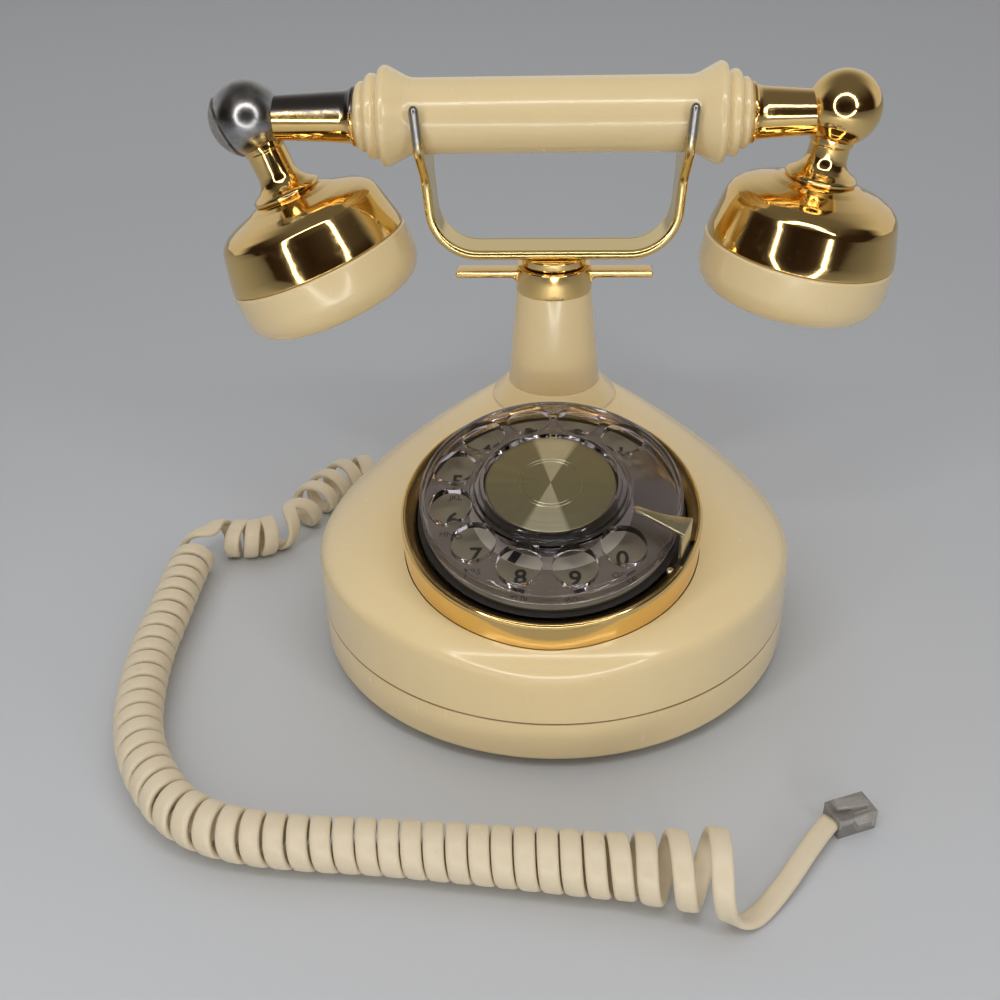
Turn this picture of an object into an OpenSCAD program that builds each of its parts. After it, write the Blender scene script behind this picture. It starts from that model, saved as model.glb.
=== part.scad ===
// French-style pedestal rotary telephone.
// Frame: origin on the table under the middle of the round base, +Z up, the dial faces -Y.

/* [Base] */
// Outer radius of the round base
base_r = 75.6; // [72:0.2:80]
// Height of the seam between pan and shell above the table
seam_z = 17; // [14:0.5:20]
// Wall of the moulded base parts
wall = 2.5; // [2:0.1:3]
// Height of the rubber feet under the pan
foot_h = 3; // [2:0.5:4]
// Radius of one rubber foot
foot_r = 6; // [4:0.5:8]
// Distance of the feet from the middle of the base
foot_ring_r = 58; // [50:1:62]
// Radius of the rounded lower edge of the pan
pan_fillet = 2; // [1:0.5:3]
// Height of the pan's tongue that enters the shell
tongue_h = 2; // [1.5:0.5:3]
// Shank radius of the base screws
screw_r = 1.5; // [1:0.1:2]
// Thickness of the ballast plate
ballast_t = 2.5; // [1.5:0.5:3]

/* [Crown of the shell] */
// Height of the shell's top, where the flange of the column stands
crown_top_z = 64.5; // [60:0.5:70]
// Slope of the crown's front, the same as the dial's
dial_tilt = 15.8; // [12:0.2:20]
// Widening of the crown to each side per millimetre down
crown_spread = 2.333; // [2:0.01:2.6]
// Rounding of the crown's sides
crown_curve = 0.0143; // [0.01:0.0005:0.02]
// Run of the crown's back per millimetre down
crown_back_run = 0.5; // [0.3:0.05:0.8]
// Sharpness of the shoulder between crown and side wall
shoulder_power = 24; // [12:1:36]
// Sharpness of the shoulder in front of the dial
front_power = 8; // [6:1:16]

/* [Column] */
// Distance of the column behind the middle of the base
column_y = 36.8; // [34:0.2:40]
// Outer radius of the flange ring
flange_r = 20.8; // [19:0.2:22]
// Height of the flange ring
flange_h = 5.8; // [4:0.2:7]
// Radius of the column at its foot
column_foot_r = 15.1; // [13:0.1:16]
// Radius of the column at its head
column_head_r = 12; // [11:0.1:13]
// Height of the column between flange and collar
column_h = 31.6; // [28:0.2:36]
// Radius of the spigot that goes down through the shell
spigot_r = 8.5; // [7:0.5:9]
// Thickness of the nut that clamps the spigot
nut_t = 4; // [3:0.5:6]

/* [Cradle] */
// Height of the gold collar on the column
collar_h = 8.6; // [7:0.2:10]
// Distance from the axis to the end of each flat arm of the collar
arm_reach = 31.4; // [26:0.1:36]
// Depth of the flat arms
arm_depth = 6.5; // [5:0.5:9]
// Thickness of the flat arms
arm_t = 2.1; // [1.6:0.1:3]
// Radius of the hub under the cradle
hub_r = 10.3; // [8:0.1:11]
// Height of the visible part of the hub
hub_h = 2.8; // [2:0.1:4]
// Radius of the guide below the hub
guide_r = 6; // [5:0.25:7]
// Radius of the plunger rod
rod_r = 2.4; // [2:0.1:3]
// Travel of the plunger
hook_travel = 4; // [3:0.25:4.5]
// Thickness of the cradle's cast band
band_t = 3; // [2.4:0.1:3.6]
// Depth of the cradle's band
band_depth = 14; // [11:0.5:16]
// Distance from the grip's end to the middle line of the cradle's arm
cradle_inset = 20.3; // [18:0.1:24]
// Radius of the cradle's lower corners along the middle of the band
cradle_corner_r = 14.7; // [8:0.1:16]
// Lean of the cradle's arms away from the middle
arm_lean = 4; // [3:0.5:8]
// Thickness of each tine of the fork, seen from the end of the handset
tine_t = 2.7; // [2.2:0.1:3.4]
// Height of the tines' tips above the handset's axis
tine_rise = 6.1; // [4:0.1:8]

/* [Handset] */
// Height of the handset's axis above the table
handset_z = 156.1; // [152:0.1:162]
// Distance by which the handset lies off the middle
handset_shift = -0.7; // [-2:0.1:2]
// Angle by which the handset hangs round its axis towards the front
handset_roll = 2.7; // [0:0.1:8]
// Radius of the grip
grip_r = 11; // [10.5:0.1:12]
// Half length of the grip with its stepped ends
grip_half = 58.5; // [56:0.5:66]
// Length of the flare with the stepped end
flare_len = 16.3; // [14:0.1:18]
// Width of one step of the stepped end
step_w = 3.6; // [3:0.1:4.2]
// Radius of the flared rim of the grip
flare_r = 14.6; // [13.5:0.1:16]
// Radius of the inner ring of the stepped end
ring_r = 12.4; // [11.5:0.1:13.2]
// Radius of the outer ring of the stepped end
end_ring_r = 10.2; // [9.5:0.1:11.3]
// Length of the left neck between grip and ball
neck_len_left = 24.6; // [22:0.1:28]
// Length of the right neck between grip and ball
neck_len_right = 18.3; // [16:0.1:24]
// Radius of the neck next to the ball
neck_r = 6.5; // [6:0.1:7.5]
// Radius of the neck next to the grip
neck_root_r = 7.5; // [7:0.1:8.2]
// Radius of the neck's collar flare
neck_flare_r = 8.8; // [8.2:0.1:9.8]
// Radius of the balls
ball_r = 11; // [9.8:0.1:12]
// Height of the left ball's middle above the grip's axis
ball_rise_left = 0.2; // [0:0.1:1.5]
// Height of the right ball's middle above the grip's axis
ball_rise_right = 1.2; // [0:0.1:1.5]
// Inward lean of the left bell
bell_lean_left = 21.3; // [16:0.1:24]
// Inward lean of the right bell
bell_lean_right = 10; // [8:0.5:18]
// Angle by which the right bell is screwed round against the left one
bell_twist = 3.7; // [0:0.1:6]
// Distance from the left ball's middle to the foot of its stem
stem_len_left = 25.3; // [22:0.1:28]
// Distance from the right ball's middle to the foot of its stem
stem_len_right = 21.6; // [20:0.1:26]
// Radius of the stem's waist
stem_waist_r = 6.1; // [5:0.1:6.6]
// Radius of the stem's foot
stem_foot_r = 10.9; // [10:0.1:12]
// Distance of the stems' axes from the balls' middles, towards the grip
stem_shift = 0.7; // [0:0.1:1]
// Radius of the bell at its shoulder
bell_shoulder_r = 26.9; // [24:0.1:28]
// Radius of the bell at its rim
bell_rim_r = 29.6; // [28:0.1:31]
// Height of the bell's sloping shoulder
bell_shoulder_h = 9; // [7:0.1:10]
// Height of the bell's wall
bell_wall_h = 12; // [11:0.1:17]
// Wall of the bells
bell_t = 1.2; // [1:0.1:1.6]
// Height of the screw caps
cap_h = 17.2; // [14:0.1:18]
// Radius of the face of the screw caps
cap_face_r = 22.5; // [21:0.1:24]
// Wall of the screw caps
cap_t = 2; // [1.6:0.1:2.4]
// Radius of the capsules behind the caps
capsule_r = 21.5; // [19:0.5:23]
// Thickness of the capsules
capsule_t = 8; // [6:0.5:10]

/* [Dial] */
// Distance of the dial's middle in front of the middle of the base
dial_y = -31.6; // [-33:0.2:-30]
// Height of the finger wheel's rim at the dial's middle
dial_z = 67.1; // [66:0.1:69]
// Radius of the finger wheel
wheel_r = 38.1; // [37:0.1:38.6]
// Radius of the ring of finger holes
hole_ring_r = 29.4; // [28:0.1:30]
// Radius of a finger hole
hole_r = 6.4; // [5.8:0.1:6.6]
// Thickness of the clear wheel
wheel_t = 2.4; // [1.8:0.1:3]
// Depth of the wheel's turned-down rim
wheel_skirt = 5; // [3:0.5:6]
// Outer radius of the wheel's raised hub ring
wheel_hub_r = 22; // [21:0.1:22.6]
// Height of the wheel's hub ring above its rim
wheel_hub_h = 3.4; // [2.6:0.1:4]
// Radius of the metal disc in the wheel's middle
disc_r = 18.7; // [17:0.1:19.4]
// Depth of the number plate below the wheel's rim
plate_drop = 8; // [7:0.1:9]
// Radius of the number plate
plate_r = 39.2; // [37:0.1:39.4]
// Outer radius of the bezel
bezel_r = 44.1; // [43:0.1:45]
// Inner radius of the bezel's rounded ring
bezel_inner_r = 39.6; // [39:0.1:40.5]
// Depth of the bezel's crest below the wheel's rim
bezel_drop = 6.8; // [6:0.1:7.5]
// Depth of the bezel's inner lip below the wheel's rim
lip_drop = 9.4; // [8.9:0.1:10.5]
// Depth of the mechanism's frame below the wheel's rim
frame_drop = 24; // [22:0.5:26]
// Radius of the dial shaft
shaft_r = 3; // [2.5:0.1:3.5]

/* [Gears] */
// Gear module of the dial train
gear_module = 0.6; // [0.5:0.05:0.65]
// Teeth of the main gear
main_teeth = 60; // [54:1:64]
// Teeth of the governor's pinion
pinion_teeth = 12; // [10:1:14]
// Thickness of the gears
gear_t = 1.6; // [1.2:0.1:2.2]

/* [Ringer] */
// Radius of the gong
gong_r = 16; // [13:0.5:17]
// Height of the gong
gong_h = 9; // [7:0.5:11]
// Length of the clapper's arm
clapper_len = 22; // [20:0.5:24]
// Rest gap between clapper and gong
clapper_gap = 0.9; // [0.7:0.1:1.4]

/* [Cord] */
// Outer diameter of the curly cord's coil
coil_d = 15.6; // [14:0.2:18]
// Width of the flat cord
strip_w = 5.4; // [4.8:0.1:6]

/* [Hidden] */

$fn = 96;
fit = 0.05;           // radial clearance of a running fit
seat = 0.02;          // clearance of a seated face or bore
gap = 0.3;            // clearance between mouldings
lead_seat = 0.02;     // clearance of the cord's end in the plug

ivory = "#e6d3a8";
gold = "#d6a83c";
brass = "#b59a58";
steel = "#a9abad";
worn_steel = "#8d8f92";
dark = "#2b2b2d";
khaki = "#8f8566";
clear = "#dfe6ea";
copper = "#b5713b";
board = "#4a3a28";
cord_ivory = "#d9ceb4";

pan_floor_z = foot_h + wall;
flange_z = crown_top_z;
column_z = flange_z + flange_h;
collar_z = column_z + column_h;
hub_z = collar_z + collar_h;
cradle_z = hub_z + hub_h;

// ---------- placing ----------
module on_dial() {
    translate([0, dial_y, dial_z]) rotate([dial_tilt, 0, 0]) children();
}
module on_column() {
    translate([0, column_y, 0]) children();
}
module on_handset() {
    translate([handset_shift, column_y, handset_z]) rotate([-handset_roll, 0, 0]) children();
}

// A solid of revolution from points [radius, height]
module turned(points) {
    rotate_extrude() polygon(points);
}
module tube(outer, inner, h) {
    difference() {
        cylinder(r = outer, h = h);
        translate([0, 0, -1]) cylinder(r = inner, h = h + 2);
    }
}
// Points of an arc round [cx, cy] from angle a0 to a1
function arc(cx, cy, r, a0, a1, steps = 8) =
    [for (i = [0:steps]) let (a = a0 + (a1 - a0) * i / steps) [cx + r * cos(a), cy + r * sin(a)]];

// ---------- base shell ----------
shell_sides = 64;
crown_rings = 15;
crown_front_y = column_y - flange_r;
crown_back_y = column_y + flange_r;
function crown_half(t) = flange_r + crown_spread * t - crown_curve * t * t;
function crown_front(t) = crown_front_y - t / tan(dial_tilt);
function crown_mid(t) = crown_front(t) + crown_half(t);
// Distance from the section's middle to the crown's own outline, t below the top
function crown_reach(t, a) =
    let (w = crown_half(t), b = sin(a) > 0 ? crown_back_y + crown_back_run * t - crown_mid(t) : w)
    1 / sqrt(pow(cos(a) / w, 2) + pow(sin(a) / b, 2));
// Distance from the section's middle to the round side wall
function wall_reach(t, a, r) =
    let (m = crown_mid(t)) -m * sin(a) + sqrt(r * r - pow(m * cos(a), 2));
function shoulder(a) = shoulder_power + (front_power - shoulder_power) * pow(max(0, -sin(a)), 6);
function blend(p, q, n) = pow(pow(p, -n) + pow(q, -n), -1 / n);
wall_straight = 8;    // height above the seam up to which the side wall stays round
function wall_share(z) = min(1, max(0, (seam_z + wall_straight - z) / (wall_straight / 2)));
// One ring of the shell's skin: t below the crown's top, side wall of radius r, at height z
function shell_ring(t, r, z) = [for (i = [0:shell_sides - 1])
    let (a = 360 * i / shell_sides, q = wall_reach(t, a, r), k = wall_share(z),
         d = q * k + blend(crown_reach(t, a), q, shoulder(a)) * (1 - k))
    [d * cos(a), crown_mid(t) + d * sin(a), z]];
module skin(rings) {
    n = shell_sides;
    m = len(rings);
    polyhedron(
        points = [for (ring = rings) each ring],
        faces = concat(
            [[for (i = [0:n - 1]) i]],
            [for (k = [0:m - 2]) for (i = [0:n - 1]) each
                let (a = k * n + i, b = k * n + (i + 1) % n) [[a, a + n, b], [b, a + n, b + n]]],
            [[for (i = [n - 1:-1:0]) (m - 1) * n + i]]));
}
module shell_body(inset, bottom) {
    drop = inset * 1.1;
    deep = crown_top_z - drop - bottom;
    skin([for (k = [crown_rings:-1:0]) let (t = deep * k / crown_rings)
        shell_ring(t, base_r - inset, crown_top_z - drop - t)]);
}
boss_r = 3.6;
tongue_gap = 0.6;     // between the pan's tongue and the shell
boss_ring_r = base_r - wall - tongue_gap - boss_r - gap;
boss_angles = [-155, -25, 65];
boss_spots = [for (a = boss_angles) [boss_ring_r * cos(a), boss_ring_r * sin(a)]];
boss_top_z = 31;
boss_seam_z = seam_z + tongue_h + gap;
rib_t = 2.4;
bezel_clear = 0.2;
jack_w = 13;
jack_h = 11;
jack_len = 15;
gland_angle = 128;
gland_z = 10;
gland_r = 4;
module base_shell() {
    color(ivory) difference() {
        union() {
            difference() {
                shell_body(0, seam_z);
                shell_body(wall, seam_z - 1);
            }
            for (a = boss_angles) rotate([0, 0, a]) translate([boss_ring_r, 0, boss_seam_z]) {
                cylinder(r = boss_r, h = boss_top_z - boss_seam_z);
                translate([0, -rib_t / 2, 0]) cube([boss_r + gap + tongue_gap + wall / 2, rib_t, boss_top_z - boss_seam_z]);
            }
        }
        on_dial() translate([0, 0, -60]) cylinder(r = bezel_r + bezel_clear, h = 80);
        on_column() cylinder(r = spigot_r + seat, h = 80);
        for (p = boss_spots) translate([p[0], p[1], boss_seam_z - 1]) cylinder(r = screw_r + fit, h = 11);
    }
}

// ---------- pan ----------
pan_leg_spots = [[-30, -36], [30, -36], [10, 2]];
pan_leg_r = 4;
frame_t = 2;
module below_frame() {
    on_dial() translate([-60, -60, -frame_drop - frame_t - 80]) cube([120, 120, 80]);
}
module base_pan() {
    z0 = foot_h;
    r_tongue = base_r - wall - tongue_gap;
    color(ivory) difference() {
        union() {
            turned(concat([[0, z0]],
                arc(base_r - pan_fillet, z0 + pan_fillet, pan_fillet, -90, 0, 6),
                [[base_r, seam_z], [r_tongue, seam_z], [r_tongue, seam_z + tongue_h],
                 [r_tongue - 1.4, seam_z + tongue_h], [r_tongue - 1.4, seam_z], [r_tongue - 1.4, pan_floor_z],
                 [0, pan_floor_z]]));
            for (p = boss_spots) translate([p[0], p[1], z0]) cylinder(r = boss_r, h = boss_seam_z - z0);
            intersection() {
                for (p = pan_leg_spots) translate([p[0], p[1], z0 + 1]) cylinder(r = pan_leg_r, h = 60);
                below_frame();
            }
        }
        for (p = boss_spots) {
            translate([p[0], p[1], 0]) cylinder(r = screw_r + fit, h = boss_seam_z + 1);
            translate([p[0], p[1], 0]) cylinder(r = screw_r * 2 + gap, h = z0 + 3);
        }
        translate([-jack_w / 2 - seat, base_r - jack_len - 1, pan_floor_z]) cube([jack_w + 2 * seat, jack_len + 5, 30]);
        rotate([0, 0, gland_angle]) translate([base_r - 10, 0, gland_z]) rotate([0, 90, 0]) cylinder(r = gland_r + seat, h = 20);
    }
}
module feet() {
    color(dark) for (a = [45:90:315]) rotate([0, 0, a]) translate([foot_ring_r, 0, 0])
        turned(concat([[0, 0]], arc(foot_r - 1, 1, 1, -90, 0, 4), [[foot_r, foot_h], [0, foot_h]]));
}
module base_screws() {
    head_h = 2;
    color(steel) for (p = boss_spots) translate([p[0], p[1], foot_h + 3 - head_h]) difference() {
        union() {
            cylinder(r = screw_r * 2, h = head_h);
            cylinder(r = screw_r, h = head_h + boss_seam_z - foot_h - 3 + 9);
        }
        translate([-screw_r * 2, -0.4, -1]) cube([screw_r * 4, 0.8, 1.8]);
    }
}
ballast_r = base_r * 0.45;
ballast_w = ballast_r * 1.3;
ballast_d = ballast_r * 1.76;
ballast_clear = 3.1;  // between the ballast and the pan's wall
module ballast_plate() {
    color(steel) translate([0, ballast_r + ballast_clear + wall - base_r, pan_floor_z]) difference() {
        intersection() {
            cylinder(r = ballast_r, h = ballast_t);
            translate([-ballast_w / 2, -ballast_d / 2, 0]) cube([ballast_w, ballast_d, ballast_t]);
        }
        for (x = [-1, 1]) translate([x * ballast_w * 0.32, 0, -1]) cylinder(r = 2.2, h = ballast_t + 2);
    }
}

// ---------- column ----------
bore_r = 6.4;
bush_t = 4;
module column_flange() {
    color(ivory) on_column() translate([0, 0, flange_z]) turned([
        [spigot_r + seat, 0], [flange_r - 0.3, 0], [flange_r, 0.5],
        [column_foot_r + 0.7, flange_h - 0.3], [column_foot_r + 0.3, flange_h], [spigot_r + seat, flange_h]]);
}
spigot_z = crown_top_z - wall * 1.1 - nut_t - 4;
module column() {
    color(ivory) on_column() turned([
        [rod_r + fit, spigot_z], [spigot_r, spigot_z], [spigot_r, column_z],
        [column_foot_r, column_z], [column_head_r, collar_z],
        [bore_r, collar_z], [bore_r, spigot_z + bush_t], [rod_r + fit, spigot_z + bush_t]]);
}
module column_nut() {
    color(steel) on_column() translate([0, 0, crown_top_z - wall * 1.1 - nut_t]) difference() {
        cylinder(r = spigot_r + 4, h = nut_t, $fn = 6);
        translate([0, 0, -1]) cylinder(r = spigot_r + seat, h = nut_t + 2);
    }
}
plug_len = 5;         // stem of the collar inside the column's bore
arm_z = collar_z + collar_h - 4.3;
arm_fillet = 1.8;
module collar() {
    color(gold) on_column() difference() {
        union() {
            translate([0, 0, collar_z]) turned([
                [guide_r + fit, -plug_len], [bore_r - seat, -plug_len], [bore_r - seat, 0],
                [column_head_r + 0.1, 0], [column_head_r + 0.1, 1], [column_head_r - 0.2, collar_h - 0.5],
                [column_head_r - 0.7, collar_h], [guide_r + fit, collar_h]]);
            for (s = [0, 1]) mirror([s, 0, 0]) translate([0, arm_depth / 2, 0]) rotate([90, 0, 0])
                linear_extrude(arm_depth) polygon(concat(
                    [[guide_r + 3, arm_z + arm_t]],
                    arc(arm_reach - arm_t / 2, arm_z + arm_t / 2, arm_t / 2, 90, -90, 6),
                    arc(column_head_r + arm_fillet, arm_z - arm_fillet, arm_fillet, 90, 180, 6),
                    [[guide_r + 3, arm_z - arm_fillet]]));
        }
        translate([0, 0, collar_z - plug_len - 1]) cylinder(r = guide_r + fit, h = collar_h + plug_len + 2);
    }
}

// ---------- plunger and cradle ----------
guide_len = 8;
rod_bottom_z = 32;
rod_flange_z = collar_z - 14;
rod_flange_r = 5.6;
rod_top_z = cradle_z + 1.6;
module plunger_hub() {
    color(gold) on_column() translate([0, 0, hub_z]) turned(concat(
        [[rod_r + seat, -guide_len], [guide_r, -guide_len], [guide_r, 0]],
        [[hub_r - 0.4, 0], [hub_r, 0.4], [hub_r, hub_h - 0.6], [hub_r - 0.6, hub_h]],
        [[rod_r + seat, hub_h]]));
}
module plunger_rod() {
    color(steel) on_column() turned([
        [0, rod_bottom_z], [rod_r - 0.5, rod_bottom_z], [rod_r, rod_bottom_z + 0.5],
        [rod_r, rod_flange_z], [rod_flange_r, rod_flange_z], [rod_flange_r, rod_flange_z + 2],
        [rod_r, rod_flange_z + 2], [rod_r, rod_top_z], [0, rod_top_z]]);
}
// Middle line of the cradle's band, seen from the front, right half, [x, z]
band_mid_z = cradle_z + band_t / 2;
arm_top_z = handset_z + tine_rise;
cradle_half_w = grip_half - cradle_inset;
function cradle_line() =
    let (c = [cradle_half_w - cradle_corner_r, band_mid_z + cradle_corner_r], r = cradle_corner_r,
         foot = [c[0] + r * cos(-arm_lean), c[1] + r * sin(-arm_lean)])
    concat([for (i = [0:10]) let (a = -90 + (90 - arm_lean) * i / 10)
            [c[0] + r * cos(a), c[1] + r * sin(a), a + 90]],
        [[foot[0] + (arm_top_z - foot[1]) * tan(arm_lean), arm_top_z, 90 - arm_lean]]);
module cradle_band() {
    line = cradle_line();
    half = band_t / 2;
    last = len(line) - 1;
    outer = [for (p = line) [p[0] + half * sin(p[2]), p[1] - half * cos(p[2])]];
    inner = [for (p = line) [p[0] - half * sin(p[2]), p[1] + half * cos(p[2])]];
    polygon(concat(outer, [for (i = [last:-1:0]) inner[i]],
        [for (p = inner) [-p[0], p[1]]], [for (i = [last:-1:0]) [-outer[i][0], outer[i][1]]]));
}
fork_clear = 1;       // between the grip and the tines
fork_r = grip_r + fork_clear;
fork_z = handset_z + fork_clear - seat;
fork_half = fork_r + tine_t;
// The cradle's outline seen from the side, [y from the column, z]: band, arm and forked top
module cradle_side() {
    stem_half = band_depth / 2 - 0.8;
    spread_z = handset_z - fork_half - 1;
    tine_y = fork_r + tine_t / 2;
    difference() {
        union() {
            polygon([[-band_depth / 2, cradle_z - 1], [band_depth / 2, cradle_z - 1],
                [stem_half, cradle_z + 14], [stem_half, spread_z], [-stem_half, spread_z], [-stem_half, cradle_z + 14]]);
            intersection() {
                translate([0, fork_z]) circle(r = fork_half);
                translate([-fork_half, fork_z - fork_half - 2]) square([2 * fork_half, fork_half + 2]);
            }
            for (s = [-1, 1]) hull() for (z = [fork_z - 1, arm_top_z - tine_t / 2])
                translate([s * tine_y, z]) circle(r = tine_t / 2);
            polygon([[-stem_half, spread_z - 6], [stem_half, spread_z - 6], [fork_half * 0.72, handset_z - fork_half * 0.7],
                [-fork_half * 0.72, handset_z - fork_half * 0.7]]);
        }
        translate([0, fork_z]) circle(r = fork_r);
        translate([-fork_r, fork_z]) square([2 * fork_r, arm_top_z - fork_z + 1]);
    }
}
module cradle() {
    color(gold) on_column() difference() {
        intersection() {
            translate([0, 40, 0]) rotate([90, 0, 0]) linear_extrude(80) cradle_band();
            rotate([90, 0, 90]) translate([0, 0, -70]) linear_extrude(140) cradle_side();
        }
        translate([0, 0, cradle_z - 1]) cylinder(r = rod_r + seat, h = rod_top_z - cradle_z + 1 + seat);
    }
}
spring_turns = 7;
spring_wire = 0.9;
spring_foot_z = spigot_z + bush_t + seat;
function coil_ring(a, r, z, w, sides) = [for (j = [0:sides - 1]) let (b = 360 * j / sides, q = r + w * cos(b))
    [q * cos(a), q * sin(a), z + w * sin(b)]];
module sweep(rings, sides) {
    m = len(rings);
    polyhedron(
        points = [for (ring = rings) each ring],
        faces = concat(
            [[for (j = [0:sides - 1]) j]],
            [for (k = [0:m - 2]) for (j = [0:sides - 1])
                [k * sides + j, (k + 1) * sides + j, (k + 1) * sides + (j + 1) % sides, k * sides + (j + 1) % sides]],
            [[for (j = [sides - 1:-1:0]) (m - 1) * sides + j]]));
}
module plunger_spring() {
    steps = 10;
    sides = 5;
    low = spring_foot_z + spring_wire / 2;
    rise = rod_flange_z - seat - spring_wire / 2 - low;
    count = spring_turns * steps;
    color(steel) on_column() sweep([for (i = [0:count])
        coil_ring(360 * i / steps, 4.6, low + rise * i / count, spring_wire / 2, sides)], sides);
}
lever_pivot = [16, 27];
module hook_lever() {
    color(brass) on_column() {
        translate([lever_pivot[0], 3, lever_pivot[1]]) rotate([90, 0, 0]) difference() {
            union() {
                cylinder(r = 2.6, h = 6);
                translate([-18.5, 0.6, 0]) cube([18, 1.8, 6]);
                translate([-lever_pivot[0], 1.8, 3]) rotate([-90, 0, 0])
                    cylinder(r = 1.6, h = rod_bottom_z - seat - lever_pivot[1] - 1.8);
            }
            translate([0, 0, -1]) cylinder(r = 1.2 + fit, h = 8);
        }
    }
}
module hook_bracket() {
    x = lever_pivot[0];
    color(steel) on_column() {
        for (s = [-1, 1]) translate([x - 4, s * 4 - 0.6, pan_floor_z]) cube([8, 1.2, lever_pivot[1] - pan_floor_z + 4]);
        translate([x - 4, -4.6, pan_floor_z]) cube([8, 9.2, 1.2]);
        translate([x, 4.6, lever_pivot[1]]) rotate([90, 0, 0]) cylinder(r = 1.2, h = 9.2);
    }
}
module hook_contacts() {
    z0 = pan_floor_z;
    color(brass) on_column() translate([-14, -3, 0]) {
        translate([0, 0, z0]) cube([7, 6, 10]);
        for (i = [0:2]) translate([2, 0.8, z0 + 10 + i * 2.2]) cube([16, 4.4, 0.5]);
        for (i = [0:2]) translate([0.5, 0.8, z0 + 10 + i * 2.2]) cube([1.5, 4.4, 2.2]);
    }
}

// ---------- dial ----------
skirt_t = 1.4;
stop_angle = -24.5;
stop_slot_w = 8;
stop_fold_r = 40.6;
stop_t = 1.2;
module dial_bezel() {
    seat_z = -frame_drop;
    color(gold) on_dial() difference() {
        turned([
            [bezel_r - skirt_t, seat_z], [bezel_r, seat_z], [bezel_r, -bezel_drop - 1.6],
            [bezel_r - 0.2, -bezel_drop - 0.6], [bezel_r - 0.9, -bezel_drop], [bezel_r - 1.5, -bezel_drop - 0.1],
            [bezel_inner_r, -lip_drop], [bezel_inner_r, -lip_drop - 0.7], [bezel_r - skirt_t, -lip_drop - 1.6]]);
        rotate([0, 0, stop_angle]) translate([bezel_inner_r - 1, -stop_slot_w / 2, -lip_drop - 4])
            cube([stop_fold_r + stop_t + gap - bezel_inner_r + 1, stop_slot_w, lip_drop + 4]);
    }
}
plate_t = 0.8;
plate_bore_r = 9;
module number_plate() {
    color(khaki) on_dial() translate([0, 0, -plate_drop - plate_t]) tube(plate_r, plate_bore_r, plate_t);
}
hub_wall = 2.4;
hub_root = 3;         // reach of the wheel's hub below its rim
function finger_angle(i) = 44 + 30 * i;
module finger_wheel() {
    inner = wheel_hub_r - hub_wall;
    top = wheel_hub_h;
    dome = 1.2;
    color(clear, 0.5) on_dial() difference() {
        turned(concat(
            [[shaft_r + seat, -hub_root], [inner, -hub_root], [wheel_hub_r, -hub_root],
             [wheel_hub_r, dome + 0.4 - wheel_t], [hole_ring_r, dome - wheel_t], [wheel_r - 1.5, -wheel_t],
             [wheel_r - 1.5, -wheel_skirt], [wheel_r, -wheel_skirt], [wheel_r, -0.9], [wheel_r - 0.9, 0],
             [hole_ring_r, dome], [wheel_hub_r + 0.4, dome + 0.4]],
            arc(wheel_hub_r - 1, top - 1, 1, 0, 90, 4),
            [[disc_r + 0.6, top], [disc_r + fit, top - 0.7], [disc_r + fit, top - 1.6],
             [shaft_r + seat, top - 1.6]]));
        for (i = [0:9]) rotate([0, 0, finger_angle(i)]) translate([hole_ring_r, 0, -20]) cylinder(r = hole_r, h = 40);
    }
}
module centre_disc() {
    z0 = wheel_hub_h - 1.6 + seat;
    color(brass) on_dial() translate([0, 0, z0]) difference() {
        turned([[0, 0], [disc_r, 0], [disc_r, 0.7], [disc_r - 0.3, 0.9], [0, 1.1]]);
        translate([0, 0, 0.95]) tube(9.4, 9, 1);
    }
}
stop_top = wheel_hub_h + 0.6;
module finger_stop() {
    half = 3.4;
    r = stop_fold_r;
    color(brass) on_dial() {
        rotate([0, 0, stop_angle]) {
            // flat arm from the fold to the tip above the wheel
            translate([0, 0, stop_top - stop_t]) linear_extrude(stop_t) polygon([
                [r + stop_t, -half], [r + stop_t, half + 0.2], [r - 2.1, 2.6], [r - 5.6, 1.7], [r - 9.6, 1.25],
                [r - 14, 1.3], [r - 15.1, 0.9], [r - 15.3, 0.1], [r - 14.4, -0.5], [r - 12.6, -0.7], [r, -half]]);
            // tab bent down through the slot to the frame
            translate([r, -half, -frame_drop]) cube([stop_t, 2 * half, frame_drop + stop_top - stop_t]);
        }
    }
}
pillar_ring_r = 32.5;
pillar_r = 2;
bush_r = 5.5;
bush_h = 4;
main_r = gear_module * main_teeth / 2;
pinion_r = gear_module * pinion_teeth / 2;
mesh_slack = 0.12;
gear_drop = 13.2;     // depth of the gears' tops below the wheel's rim
governor_angle = 150;
governor_d = main_r + pinion_r + mesh_slack;
function governor_xy() = [governor_d * cos(governor_angle), governor_d * sin(governor_angle)];
module dial_frame() {
    g = governor_xy();
    color(steel) on_dial() {
        difference() {
            union() {
                translate([0, 0, -frame_drop - frame_t]) cylinder(r = bezel_r - 0.2, h = frame_t);
                translate([0, 0, -frame_drop - frame_t]) cylinder(r = bush_r, h = bush_h + frame_t);
                for (a = [90, 214, 330]) rotate([0, 0, a]) translate([pillar_ring_r, 0, -frame_drop - frame_t])
                    cylinder(r = pillar_r, h = frame_t + frame_drop - plate_drop - plate_t);
            }
            translate([0, 0, -frame_drop - frame_t - 1]) cylinder(r = shaft_r + fit, h = bush_h + frame_t + 2);
            translate([g[0], g[1], -frame_drop - frame_t - 1]) cylinder(r = 1 + fit, h = frame_t + 2);
        }
    }
}
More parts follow.
